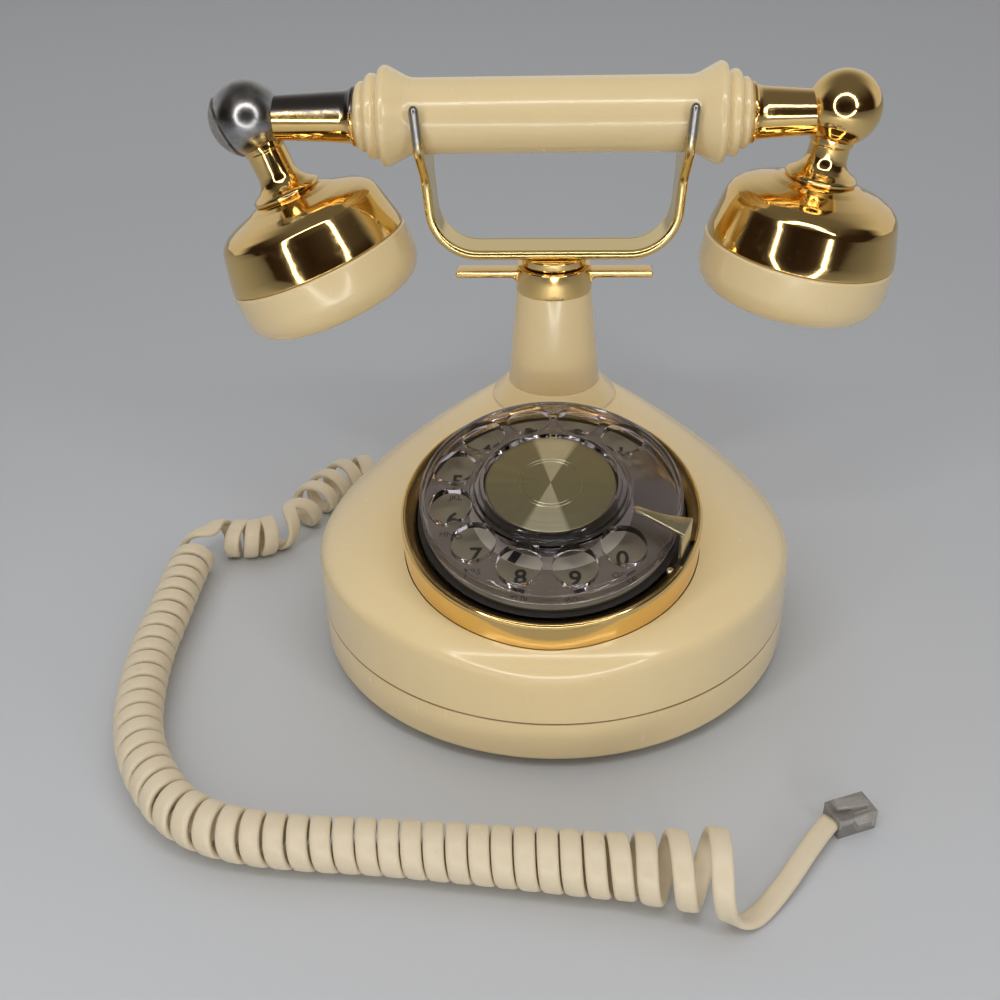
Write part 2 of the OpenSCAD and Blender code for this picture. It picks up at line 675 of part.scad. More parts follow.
module dial_shaft() {
    disc_z = wheel_hub_h - 1.6;
    color(steel) on_dial() turned([
        [0, -frame_drop - frame_t - 1.5], [shaft_r, -frame_drop - frame_t - 1.5], [shaft_r, -gear_drop - gear_t - 1.4],
        [shaft_r + 1.6, -gear_drop - gear_t - 1.4], [shaft_r + 1.6, -gear_drop - gear_t], [shaft_r, -gear_drop - gear_t],
        [shaft_r, -hub_root - 1.4], [shaft_r + 4, -hub_root - 1.4], [shaft_r + 4, -hub_root], [shaft_r, -hub_root],
        [shaft_r, disc_z], [0, disc_z]]);
}
// Straight-flanked teeth on a root circle
module gear(teeth, m, t, bore) {
    r = m * teeth / 2;
    root = r - 1.2 * m;
    tip = r + 0.9 * m;
    pitch = 360 / teeth;
    difference() {
        linear_extrude(t) polygon([for (i = [0:teeth - 1]) each [
            for (p = [[root, -0.36], [tip, -0.14], [tip, 0.14], [root, 0.36]])
                [p[0] * cos((i + p[1]) * pitch), p[0] * sin((i + p[1]) * pitch)]]]);
        translate([0, 0, -1]) cylinder(r = bore, h = t + 2);
    }
}
module main_gear() {
    color(brass) on_dial() translate([0, 0, -gear_drop - gear_t]) rotate([0, 0, governor_angle])
        difference() {
            gear(main_teeth, gear_module, gear_t, shaft_r + seat);
            for (a = [60:72:348]) rotate([0, 0, a]) translate([main_r * 0.6, 0, -1]) cylinder(r = 3, h = gear_t + 2);
        }
}
spring_pitch = 1.1;
spring_w = 4.2;
module return_spring() {
    // flat spiral wound round the frame's bush
    turns = 4;
    steps = 24;
    color(steel) on_dial() translate([0, 0, -frame_drop + 0.4]) linear_extrude(spring_w) {
        line = [for (i = [0:turns * steps]) let (a = 360 * i / steps, r = bush_r + gap + spring_pitch * i / steps) [r, a]];
        polygon(concat(
            [for (p = line) [p[0] * cos(p[1]), p[0] * sin(p[1])]],
            [for (i = [len(line) - 1:-1:0]) let (p = line[i]) [(p[0] + 0.5) * cos(p[1]), (p[0] + 0.5) * sin(p[1])]]));
    }
}
drum_r = 6;
drum_h = 4;
module governor_spindle() {
    g = governor_xy();
    low = -frame_drop - frame_t - 0.6;
    color(brass) on_dial() translate([g[0], g[1], 0]) {
        translate([0, 0, low]) cylinder(r = 1, h = -gear_drop - gear_t - low);
        translate([0, 0, -gear_drop - gear_t]) rotate([0, 0, governor_angle + 180 + 180 / pinion_teeth])
            gear(pinion_teeth, gear_module, gear_t, 0.01);
        translate([0, 0, -frame_drop + 1.4]) {
            cylinder(r = 2.4, h = drum_h);
            for (a = [0, 180]) rotate([0, 0, a]) translate([1.5, -1.5, 0.6]) cube([drum_r - 1.9, 3, 2.8]);
        }
    }
}
module governor_cup() {
    g = governor_xy();
    color(steel) on_dial() translate([g[0], g[1], -frame_drop]) tube(drum_r + 1.4, drum_r + 0.4, drum_h + 2);
}
module pulse_contacts() {
    color(brass) on_dial() rotate([0, 0, 280]) translate([22, -3, -frame_drop]) {
        cube([5, 6, 6]);
        for (i = [0:2]) translate([0, 0.8, 6 + 1.1 * i]) cube([5, 4.4, 0.7]);
        for (i = [0:1]) translate([-7, 1.6, 6 + 1.1 * i]) cube([7.2, 2.8, 0.4]);
        for (i = [0:1]) translate([3, 1.6, 6.7 + 1.1 * i]) cube([2, 2.8, 0.4]);
    }
}

// ---------- ringer ----------
gong_clear = 8.3;     // between the gong and the pan's wall
gong_ring_r = base_r - wall - gong_r - gong_clear;
gong_xy = gong_ring_r * [cos(145), sin(145)];
clapper_angle = 30;   // direction from the gong's middle to the clapper's ball
clapper_ball_r = 2.4;
function clapper_ball() = let (d = gong_r + clapper_gap + clapper_ball_r)
    [gong_xy[0] + d * cos(clapper_angle), gong_xy[1] + d * sin(clapper_angle)];
function clapper_pivot() = let (b = clapper_ball())
    [b[0] + clapper_len * sin(clapper_angle), b[1] - clapper_len * cos(clapper_angle)];
gong_z = 13;
gong_t = 1.2;
module gong() {
    color(brass) translate([gong_xy[0], gong_xy[1], gong_z]) turned(concat(
        [[gong_r - gong_t, 0], [gong_r, 0], [gong_r, gong_h - 4]],
        arc(gong_r - 4, gong_h - 4, 4, 0, 90, 6),
        [[2 + seat, gong_h], [2 + seat, gong_h - gong_t], [gong_r - 4, gong_h - gong_t],
         [gong_r - gong_t, gong_h - 4]]));
}
module gong_post() {
    top = gong_z + gong_h;
    color(steel) translate([gong_xy[0], gong_xy[1], 0]) turned([
        [0, pan_floor_z], [4, pan_floor_z], [4, top - gong_t], [2, top - gong_t], [2, top],
        [3.4, top], [3.4, top + 1.6], [0, top + 1.6]]);
}
clapper_z = gong_z + 3;
module clapper() {
    p = clapper_pivot();
    b = clapper_ball();
    color(brass) difference() {
        union() {
            translate([p[0], p[1], clapper_z - 3]) cylinder(r = 3, h = 6);
            translate([p[0], p[1], clapper_z]) rotate([0, 0, atan2(b[1] - p[1], b[0] - p[0])]) rotate([0, 90, 0])
                cylinder(r = 0.8, h = clapper_len, $fn = 24);
            translate([b[0], b[1], clapper_z]) sphere(r = clapper_ball_r, $fn = 48);
        }
        translate([p[0], p[1], clapper_z - 4]) cylinder(r = 1.2 + fit, h = 8);
    }
}
coil_z = pan_floor_z + 2;
bobbin_r = 8;
bobbin_h = 18;
module ringer_coil() {
    p = clapper_pivot();
    color(copper) {
        translate([p[0], p[1] - 14, coil_z]) turned([
            [0, 0], [bobbin_r, 0], [bobbin_r, 1.4], [bobbin_r - 1.4, 1.4], [bobbin_r - 1.4, bobbin_h - 1.4],
            [bobbin_r, bobbin_h - 1.4], [bobbin_r, bobbin_h], [0, bobbin_h]]);
        translate([p[0] - 9, p[1] - 23, pan_floor_z]) cube([16.6, 27, 2]);
        translate([p[0], p[1], pan_floor_z + 1]) cylinder(r = 1.2, h = clapper_z + 5 - pan_floor_z);
        translate([p[0], p[1], pan_floor_z + 1]) cylinder(r = 2.6, h = clapper_z - 3 - seat - pan_floor_z - 1);
    }
}
block_w = 30;
block_d = 26;
block_h = 12;
module network_block() {
    color(board) translate([22, 12, pan_floor_z]) {
        cube([block_w, block_d, block_h]);
        for (i = [0:3]) for (j = [0, 1]) translate([(i + 0.55) * block_w / 4, (j * 2 + 1) * block_d / 4, block_h])
            cylinder(r = 2, h = 1.6, $fn = 24);
    }
}
socket_w = 6.8;
socket_h = 6.4;
module line_jack() {
    color(dark) translate([-jack_w / 2, base_r - 0.6 - jack_len, pan_floor_z]) difference() {
        cube([jack_w, jack_len, jack_h]);
        translate([(jack_w - socket_w) / 2, 3, 2]) cube([socket_w, jack_len, socket_h]);
        translate([jack_w / 2 - 2, 5, 2 + socket_h - 0.1]) cube([4, jack_len, 1.4]);
    }
}
gland_out = 5;
module cord_gland() {
    color(cord_ivory) rotate([0, 0, gland_angle]) translate([base_r, 0, gland_z]) rotate([0, 90, 0]) turned([
        [0, -5], [gland_r, -5], [gland_r, 0.4], [gland_r + 1.6, 0.4], [gland_r + 1.6, 1.6],
        [gland_r - 0.4, gland_out], [0, gland_out]]);
}

// ---------- handset ----------
ball_seat = sqrt(ball_r * ball_r - neck_r * neck_r);
ball_x_left = -(grip_half + neck_len_left + ball_seat);
ball_x_right = grip_half + neck_len_right + ball_seat;
tie_r = 3;
// Outline of the grip, [radius, distance from the middle]
module grip_outline() {
    e = grip_half;
    f = grip_half - flare_len;
    rim = grip_half - 2 * step_w - 2.1;
    rise = flare_r - grip_r;
    polygon([[tie_r + seat, 0], [grip_r, 0], [grip_r, f], [grip_r + rise * 0.08, f + 0.8],
        [grip_r + rise * 0.36, f + 2.6], [grip_r + rise * 0.68, f + 4.8], [flare_r - 0.3, rim - 0.9],
        [flare_r, rim], [flare_r - 0.3, rim + 0.8], [ring_r + 0.6, rim + 1.9], [ring_r - 0.5, rim + 2.4],
        [ring_r, rim + 3.1], [ring_r, rim + 3.9], [ring_r - 0.5, rim + 4.9], [end_ring_r + 0.8, e - step_w + 0.2],
        [end_ring_r - 0.3, e - step_w + 0.5], [end_ring_r, e - step_w + 1.3], [end_ring_r, e - step_w + 2],
        [end_ring_r - 0.5, e - 0.7], [end_ring_r - 1.4, e], [tie_r + seat, e]]);
}
module grip() {
    color(ivory) on_handset() for (s = [90, -90]) rotate([0, s, 0]) rotate_extrude() grip_outline();
}
tie_reach = 8;
module tie_tube() {
    color(steel) on_handset() translate([-grip_half - tie_reach, 0, 0]) rotate([0, 90, 0])
        tube(tie_r, tie_r - 1, 2 * (grip_half + tie_reach));
}
module neck(length, rise) {
    // from the grip's end at height 0 towards the ball's middle
    color(gold) difference() {
        turned([[tie_r + seat, 0], [neck_flare_r - 0.4, 0], [neck_flare_r, 0.4], [neck_flare_r, 0.9],
            [neck_root_r + 0.7, 1.6], [neck_root_r + 0.2, 2.5], [neck_root_r, 3.6], [neck_r, length],
            [neck_r, length + ball_seat], [tie_r + seat, length + ball_seat]]);
        translate([rise, 0, length + ball_seat]) sphere(r = ball_r + seat);
    }
}
module neck_left() {
    on_handset() translate([-grip_half, 0, 0]) rotate([0, -90, 0]) neck(neck_len_left, ball_rise_left);
}
module neck_right() {
    on_handset() translate([grip_half, 0, 0]) rotate([0, 90, 0]) neck(neck_len_right, -ball_rise_right);
}
// The room that a neck takes up, cut out of the stem beside it
module neck_room(length) {
    cylinder(r1 = neck_root_r + gap, r2 = neck_r + gap, h = length);
    cylinder(r = neck_r + gap, h = length + ball_seat);
}
jack_cut = 6.6;       // distance of the jack's face plane from the ball's middle
jack_pocket_r = 6.2;
jack_dir_angle = 25;  // the jack looks outward and this much down
jack_proud = 0.6;     // of the insert's dome above the ball
module jack_side() {
    rotate([0, -90 - jack_dir_angle, 0]) children();
}
module ball_left() {
    color(worn_steel) on_handset() translate([ball_x_left, 0, ball_rise_left]) jack_side() turned(concat(
        arc(0, 0, ball_r, -90, asin(jack_cut / ball_r), 30),
        [[jack_pocket_r, jack_cut], [jack_pocket_r, -2], [0, -2]]));
}
module ball_right() {
    color(gold) on_handset() translate([ball_x_right, 0, ball_rise_right]) sphere(r = ball_r);
}
module handset_jack() {
    color(clear) on_handset() translate([ball_x_left, 0, ball_rise_left]) jack_side() difference() {
        union() {
            turned(concat([[0, -1.8], [jack_pocket_r - seat, -1.8], [jack_pocket_r - seat, jack_cut + seat]],
                arc(0, 0, ball_r + jack_proud, asin((jack_cut + seat) / (ball_r + jack_proud)), 90, 12)));
        }
        translate([-socket_h / 2, -socket_w / 2, -0.6]) cube([socket_h, socket_w, 20]);
    }
}
// Bells hang from the balls; heights run from the ball's middle along the stem
module at_bell_left() {
    on_handset() translate([ball_x_left, 0, ball_rise_left]) rotate([0, 180 - bell_lean_left, 0])
        translate([-stem_shift, 0, 0]) children();
}
module at_bell_right() {
    on_handset() translate([ball_x_right, 0, ball_rise_right]) rotate([bell_twist, 0, 0])
        rotate([0, 180 + bell_lean_right, 0]) translate([stem_shift, 0, 0]) children();
}
module stem(length, shift) {
    top = sqrt(ball_r * ball_r - pow(stem_waist_r + 0.6, 2)) - 1.5;
    foot = stem_foot_r - stem_waist_r;
    difference() {
        turned([[0, top], [stem_waist_r + 0.5, top], [stem_waist_r + 0.5, top + 3], [stem_waist_r, top + 3.7],
            [stem_waist_r, length - 7], [stem_waist_r + foot * 0.05, length - 5.8],
            [stem_waist_r + foot * 0.18, length - 4.5], [stem_waist_r + foot * 0.45, length - 3.2],
            [stem_waist_r + foot * 0.8, length - 2.2], [stem_foot_r - 0.2, length - 1.6], [stem_foot_r, length - 0.9],
            [stem_foot_r - 0.3, length - 0.3], [stem_foot_r - 0.8, length], [4, length], [4, length + bell_t + 2],
            [0, length + bell_t + 2]]);
        translate([shift, 0, 0]) sphere(r = ball_r + seat);
    }
}
module stem_left() {
    color(gold) difference() {
        at_bell_left() stem(stem_len_left, stem_shift);
        on_handset() translate([-grip_half, 0, 0]) rotate([0, -90, 0]) neck_room(neck_len_left);
    }
}
module stem_right() {
    color(gold) difference() {
        at_bell_right() stem(stem_len_right, -stem_shift);
        on_handset() translate([grip_half, 0, 0]) rotate([0, 90, 0]) neck_room(neck_len_right);
    }
}
module bell(z0) {
    z1 = z0 + bell_shoulder_h;
    z2 = z1 + bell_wall_h;
    t = bell_t;
    w = bell_shoulder_r;
    color(gold) turned([
        [4 + seat, z0], [stem_foot_r + 0.3, z0], [stem_foot_r + 1.6, z0 + 0.5],
        [stem_foot_r + 3.2, z0 + 1.5], [w - 6.9, z0 + 3.2], [w - 3.6, z1 - 4.4], [w - 1.7, z1 - 3], [w - 0.5, z1 - 1.4],
        [w, z1], [bell_rim_r - 0.5, z2 - 3], [bell_rim_r, z2],
        [bell_rim_r - t, z2], [bell_rim_r - 0.5 - t, z2 - 3], [w - t, z1 + 0.2],
        [w - 2.4 - t * 0.5, z1 - 2.6 + t * 0.6], [w - 6.9, z0 + 3.2 + t], [stem_foot_r + 3.2, z0 + 1.5 + t],
        [stem_foot_r + 1, z0 + t + 0.2], [4 + seat, z0 + t + 0.2]]);
}
module bell_left() { at_bell_left() bell(stem_len_left); }
module bell_right() { at_bell_right() bell(stem_len_right); }
sound_holes = 12;
cap_lip = 0.3;        // of the cap beyond the bell's rim
cap_straight = 8.5;   // height of the cap's wall below its rounded edge
module cap(z0) {
    top = z0 + cap_h;
    thread_r = bell_rim_r - bell_t - 1.1;
    out_r = bell_rim_r + cap_lip;
    color(ivory) difference() {
        turned(concat(
            [[thread_r - cap_t, z0 - 4], [thread_r, z0 - 4], [thread_r, z0], [out_r - 0.2, z0],
             [out_r, z0 + 0.6]],
            [for (a = [0:10:90]) [cap_face_r + (out_r - cap_face_r) * cos(a),
                z0 + cap_straight + (cap_h - cap_straight) * sin(a)]],
            [[0, top - 0.6], [0, top - cap_t], [cap_face_r - 1, top - cap_t],
             [thread_r - cap_t, top - 8]]));
        for (ring = [0, 1, 2]) for (k = [0:(ring == 0 ? 0 : ring * 6 - 1)]) rotate([0, 0, 60 * k / max(ring, 1)])
            translate([ring * 4.2, 0, top - 6]) cylinder(r = 0.9, h = 8, $fn = 16);
    }
}
function rim_z(len) = len + bell_shoulder_h + bell_wall_h;
module cap_left() { at_bell_left() cap(rim_z(stem_len_left)); }
module cap_right() { at_bell_right() cap(rim_z(stem_len_right)); }
module capsule(z0) {
    top = z0 + cap_h - cap_t - 0.2;
    turned([[0, top - capsule_t], [capsule_r - 3, top - capsule_t], [capsule_r - 3, top - 3],
        [capsule_r, top - 3], [capsule_r, top - 0.6], [capsule_r - 0.6, top], [0, top]]);
}
module transmitter() { color(steel) at_bell_left() capsule(rim_z(stem_len_left)); }
module receiver() { color(steel) at_bell_right() capsule(rim_z(stem_len_right)); }
module contact_cup(length) {
    z0 = length + bell_t + 2;
    z1 = rim_z(length) + cap_h - cap_t - 0.2 - capsule_t;
    color(dark) {
        translate([0, 0, z0]) cylinder(r = 6, h = z1 - z0 - 1.2);
        translate([0, 0, z1 - 3]) tube(bell_rim_r - bell_t - cap_t - 3.4, capsule_r - 2.6, 2.8);
        for (a = [0, 90, 180, 270]) rotate([0, 0, a]) translate([5, -1.5, z1 - 3]) cube([capsule_r - 6.5, 3, 1.6]);
    }
}
module transmitter_cup() { at_bell_left() contact_cup(stem_len_left); }
module receiver_cup() { at_bell_right() contact_cup(stem_len_right); }

// ---------- cord ----------
coil_h = 8;
coil_route = [[-62, 77.5, coil_h], [-73, 78.5, coil_h], [-84, 74, coil_h], [-92, 66, coil_h],
    [-96, 56, coil_h], [-95.5, 47, coil_h], [-97, 39, coil_h], [-103, 33, coil_h], [-112, 30, coil_h],
    [-121, 27, coil_h], [-128, 21, coil_h], [-131, 12, coil_h], [-132, 0, coil_h], [-132, -13, coil_h],
    [-131, -28, coil_h], [-128, -45, coil_h], [-124, -63, coil_h], [-117, -82, coil_h], [-107, -97, coil_h],
    [-94, -107, coil_h], [-78, -111, coil_h], [-60, -112, coil_h], [-42, -112, coil_h], [-24, -112, coil_h],
    [-6, -113, coil_h], [12, -115, coil_h], [28, -117, coil_h], [46, -119, coil_h]];
coil_end = coil_route[len(coil_route) - 1];
coil_dir = unit(coil_end - coil_route[len(coil_route) - 2]);
plug_dir_angle = 22;
plug_end = [75.6, -95.5, 3.2];
lead_start = coil_end + [0.22, -2, -3.6];
lead_h = 2.8;
lead_route = [lead_start, lead_start + 1.5 * coil_dir, [51, -121.6, 3.4], [54.4, -120.2, lead_h],
    [58.2, -116.4, lead_h], [62.5, -111, lead_h], [67, -104.8, lead_h], [71, -99.4, 3], [73.2, -97.2, 3.2],
    plug_end - [cos(plug_dir_angle), sin(plug_dir_angle), 0], plug_end];
function unit(v) = v / norm(v);
function route_dir(route, i) = unit(route[min(i + 1, len(route) - 1)] - route[max(i - 1, 0)]);
function tube_ring(p, d, r, sides) =
    let (side = unit(cross(d, [0, 0, 1])), up = cross(side, d))
    [for (j = [0:sides - 1]) let (a = 360 * j / sides) p + r * (cos(a) * side + sin(a) * up)];
module route_tube(route, d, sides) {
    sweep([for (i = [0:len(route) - 1]) tube_ring(route[i], route_dir(route, i), d / 2, sides)], sides);
}
// Straight end of the cord between the gland and the coil
module cord_root() {
    tip = [(base_r + gland_out) * cos(gland_angle), (base_r + gland_out) * sin(gland_angle), gland_z];
    end = coil_route[0];
    out = [cos(gland_angle), sin(gland_angle), 0];
    color(cord_ivory) route_tube([tip, tip + 2 * out, (tip + 3 * out + end) / 2, end - 2 * unit(coil_route[1] - end), end], strip_w, 8);
}
module curly_cord() {
    color(cord_ivory) route_tube(coil_route, coil_d, 10);
}
module cord_lead() {
    color(cord_ivory) route_tube(lead_route, strip_w, 8);
}
plug_len_body = 11.5;
plug_w = 7.6;
plug_h = 6.4;
module at_plug() {
    translate([plug_end[0] + lead_seat * cos(plug_dir_angle), plug_end[1] + lead_seat * sin(plug_dir_angle), 0]) rotate([0, 0, plug_dir_angle]) children();
}
module modular_plug() {
    color(clear) at_plug() difference() {
        union() {
            translate([0, -plug_w / 2, 0]) cube([plug_len_body, plug_w, plug_h]);
            translate([plug_len_body - 1.5, -1.6, plug_h - 0.01]) rotate([0, -168, 0]) translate([0, 0, -1]) cube([10, 3.2, 1]);
        }
        for (i = [0:3]) translate([plug_len_body - 5, -2.2 + i * 1.27, -0.01]) cube([6, 0.6, 2.2]);
    }
}
module plug_contacts() {
    color(gold) at_plug() for (i = [0:3]) translate([plug_len_body - 4.8, -2.1 + i * 1.27, 0.4]) cube([4.2, 0.4, 1.7]);
}

base_shell();
base_pan();
feet();
base_screws();
ballast_plate();
column_flange();
column();
column_nut();
collar();
plunger_hub();
cradle();
plunger_rod();
plunger_spring();
hook_lever();
hook_bracket();
hook_contacts();
dial_bezel();
number_plate();
finger_wheel();
centre_disc();
finger_stop();
dial_frame();
dial_shaft();
main_gear();
return_spring();
governor_spindle();
governor_cup();
pulse_contacts();
gong();
gong_post();
ringer_coil();
clapper();
network_block();
line_jack();
cord_gland();
grip();
tie_tube();
neck_left();
neck_right();
ball_left();
ball_right();
handset_jack();
stem_left();
stem_right();
bell_left();
bell_right();
cap_left();
cap_right();
transmitter();
receiver();
transmitter_cup();
receiver_cup();
cord_root();
curly_cord();
cord_lead();
modular_plug();
plug_contacts();
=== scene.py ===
import math

import bmesh
import bpy
import numpy as np
from mathutils import Matrix, Vector


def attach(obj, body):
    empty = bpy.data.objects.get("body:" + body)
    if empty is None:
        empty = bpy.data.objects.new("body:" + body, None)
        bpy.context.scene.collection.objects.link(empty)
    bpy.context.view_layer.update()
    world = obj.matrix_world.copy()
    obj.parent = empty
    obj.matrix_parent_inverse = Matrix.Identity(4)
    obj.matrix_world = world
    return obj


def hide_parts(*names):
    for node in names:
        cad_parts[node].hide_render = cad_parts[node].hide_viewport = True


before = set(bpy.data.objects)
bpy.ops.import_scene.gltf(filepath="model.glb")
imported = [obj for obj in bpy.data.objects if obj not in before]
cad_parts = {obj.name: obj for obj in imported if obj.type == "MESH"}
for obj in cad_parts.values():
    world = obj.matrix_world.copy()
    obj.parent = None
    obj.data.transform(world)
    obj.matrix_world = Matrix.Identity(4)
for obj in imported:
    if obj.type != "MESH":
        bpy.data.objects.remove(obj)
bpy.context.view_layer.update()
mm = 0.001

# The view. The lens stands close and looks down on the dial, so the round base
# is drawn wider at the front than at the back.
camera = bpy.data.objects.new("camera", bpy.data.cameras.new("camera"))
bpy.context.collection.objects.link(camera)
camera.data.sensor_width = 36
camera.data.lens = 41.65
camera.data.shift_x = -0.0026
camera.data.clip_start = 0.01
sight = Vector((-0.05550, 0.84917, -0.52519)).normalized()
level = Vector((0.99843, 0.05119, -0.02275)).normalized()
rise = level.cross(sight)
lens_place = Matrix.Translation(Vector((4.679, -316.889, 239.819)) * mm)
camera.matrix_world = lens_place @ Matrix((level, rise, -sight)).transposed().to_4x4()
bpy.context.scene.camera = camera

# The curly cord: a flat ivory sheath round four tinsel wires, wound on a rod and
# baked so that it springs back into turns. It has been unplugged from the handset
# and lies on the table, and the turns change their hand twice near the base.


class Shade:
    """A socket of a finish, which takes part in sums like a number."""

    def __init__(self, finish, socket):
        self.finish, self.socket = finish, socket

    def sum(self, operation, first, second=0.0):
        return self.finish.node("Math", {"operation": operation}, {0: first, 1: second})

    def __add__(self, other): return self.sum("ADD", self, other)
    def __radd__(self, other): return self.sum("ADD", other, self)
    def __sub__(self, other): return self.sum("SUBTRACT", self, other)
    def __rsub__(self, other): return self.sum("SUBTRACT", other, self)
    def __mul__(self, other): return self.sum("MULTIPLY", self, other)
    def __rmul__(self, other): return self.sum("MULTIPLY", other, self)
    def __truediv__(self, other): return self.sum("DIVIDE", self, other)
    def __pow__(self, other): return self.sum("POWER", self, other)


def opaque(colour):
    return (*colour, 1) if isinstance(colour, tuple) and len(colour) == 3 else colour


class Finish:
    """One material, or the room's light, built up node by node."""

    def __init__(self, name, made=None):
        self.made = made or bpy.data.materials.new(name)
        self.made.use_nodes = True
        self.tree = self.made.node_tree
        self.tree.nodes.clear()

    def node(self, kind, settings=(), inputs=(), output=0):
        made = self.tree.nodes.new("ShaderNode" + kind)
        for key, value in dict(settings).items():
            setattr(made, key, value)
        for key, value in dict(inputs).items():
            if isinstance(value, Shade):
                self.tree.links.new(value.socket, made.inputs[key])
            elif value is not None:
                made.inputs[key].default_value = value
        return Shade(self, made.outputs[output]) if len(made.outputs) else None

    def place(self, scale=(1, 1, 1)):
        """The point on the object, in metres, stretched by scale."""
        return self.node("Mapping", {"vector_type": "POINT"},
                         {"Vector": self.node("TexCoord", output=3), "Scale": scale})

    def height(self):
        """How high the point lies on the phone as it stands, in metres."""
        return self.node("SeparateXYZ", {}, {0: self.place()}, output=2)

    def noise(self, size, detail=3.0, rough=0.55, scale=(1, 1, 1)):
        """Mottling whose patches are about size metres across, from 0 to 1."""
        return self.node("TexNoise", {}, {"Vector": self.place(scale), "Scale": 1 / size,
                                          "Detail": detail, "Roughness": rough})

    def between(self, amount, low, high):
        """0 below low, 1 above high."""
        return self.node("MapRange", {"interpolation_type": "SMOOTHSTEP"},
                         {"Value": amount, "From Min": low, "From Max": high})

    def mix(self, amount, first, second):
        return self.node("Mix", {"data_type": "RGBA"},
                         {0: amount, 6: opaque(first), 7: opaque(second)}, output=2)

    def bump(self, height, depth, under=None):
        return self.node("Bump", {}, {"Height": height, "Strength": 1.0,
                                      "Distance": depth, "Normal": under})

    def surface(self, **inputs):
        named = {key.replace("_", " "): opaque(value) if "Color" in key else value
                 for key, value in inputs.items()}
        self.node("OutputMaterial", {}, {"Surface": self.node("BsdfPrincipled", {}, named)})
        return self.made


def finish_cord():
    f = Finish("cord sheath")
    patch = f.noise(0.018, 4)
    grime = f.between(f.noise(0.006, 5, 0.7), 0.58, 0.8)
    colour = f.mix(patch, (0.70, 0.60, 0.43), (0.78, 0.68, 0.50))
    colour = f.mix(grime * 0.25, colour, (0.46, 0.37, 0.24))
    grain = f.noise(0.0007, 2)
    return f.surface(Base_Color=colour, Roughness=0.34 + patch * 0.14,
                     Normal=f.bump(grain, 0.00004), Coat_Weight=0.1, Coat_Roughness=0.3,
                     Subsurface_Weight=0.06, Subsurface_Radius=(1.0, 0.7, 0.4),
                     Subsurface_Scale=0.002)


def smooth_line(points, step):
    """Points every step along a smooth curve through the given ones."""
    p = [np.array(q, float) for q in points]
    p = [2 * p[0] - p[1]] + p + [2 * p[-1] - p[-2]]
    fine = []
    for a, b, c, d in zip(p, p[1:], p[2:], p[3:]):
        for t in np.linspace(0, 1, 24, endpoint=False):
            fine.append(0.5 * (2 * b + (c - a) * t + (2 * a - 5 * b + 4 * c - d) * t ** 2
                               + (3 * b - a - 3 * c + d) * t ** 3))
    fine = np.array(fine + [p[-2]])
    along = np.concatenate([[0], np.cumsum(np.linalg.norm(np.diff(fine, axis=0), axis=1))])
    want = np.linspace(0, along[-1], int(along[-1] / step) + 1)
    return np.stack([np.interp(want, along, fine[:, k]) for k in range(fine.shape[1])], 1)


# Each row is x, y, the turns' outer radius and the turns for each millimetre, whose
# sign is their hand.
coil_route = [
    (-61, 76.5, 6.2, -0.11), (-69, 79.5, 6.6, -0.11), (-76.5, 79.5, 7.2, -0.11),
    (-83, 75.5, 7.6, -0.108), (-88, 68, 7.7, -0.105), (-91.5, 59.5, 7.7, -0.10),
    (-95.5, 50, 7.6, -0.07), (-99, 41, 7.4, 0.03), (-104, 33.5, 7.4, 0.17),
    (-111, 30.8, 7.4, 0.185), (-118, 31, 7.4, 0.135), (-123.5, 29.5, 7.4, 0.035),
    (-127.3, 23.5, 7.4, -0.06), (-128.4, 12, 7.5, -0.140), (-128.2, 0, 7.5, -0.148),
    (-127.6, -15, 7.5, -0.152), (-127, -33, 7.5, -0.155), (-125, -49, 7.5, -0.158),
    (-122, -63.5, 7.5, -0.160), (-118.5, -74, 7.5, -0.160), (-114, -83, 7.5, -0.160),
    (-107.8, -92, 7.5, -0.158), (-100.5, -100, 7.5, -0.155), (-91.5, -105.6, 7.5, -0.155),
    (-81, -109, 7.5, -0.158), (-66, -111, 7.5, -0.164), (-44, -112, 7.6, -0.170),
    (-20, -113.8, 7.9, -0.172), (0, -115.6, 8.3, -0.172), (14, -116.9, 8.5, -0.165),
    (22, -117.4, 8.8, -0.150), (29, -118.4, 9.6, -0.122), (36, -119.2, 10.3, -0.106),
    (42, -120.2, 11.1, -0.098), (46.5, -121.1, 11.6, -0.085)]
lead_route = [
    (47.0, -128.5, 2.4), (49.6, -127.5, 1.4), (52.8, -125.0, 1.3), (57, -120.3, 1.7),
    (61.7, -114.4, 2.3), (68.4, -104.8, 2.9), (72.8, -98.9, 3.1), (75.6, -95.5, 3.2)]
strip_wide, strip_thick, last_turn = 5.4, 2.3, -0.75
gland_angle, gland_reach, gland_z = math.radians(128), 80.6, 10.0
gland_way = np.array([math.cos(gland_angle), math.sin(gland_angle), 0])
gland_tip = gland_reach * gland_way + (0, 0, gland_z)
line_step = 0.5


def wind():
    """The cord's middle line and, at each point, the way its flat side faces."""
    rows = smooth_line(coil_route, 0.4)
    axis, twist = rows[:, :3], rows[:, 3]
    ahead = np.gradient(axis * (1, 1, 0), axis=0)
    step = np.linalg.norm(ahead, axis=1)
    ahead /= step[:, None]
    side = np.cross(ahead, [0, 0, 1])
    angle = np.cumsum(2 * math.pi * twist * step)
    angle += last_turn - angle[-1]
    face = np.cos(angle)[:, None] * side + np.sin(angle)[:, None] * np.array([0, 0, 1.0])
    return axis + (axis[:, 2:] - strip_thick / 2) * face, face


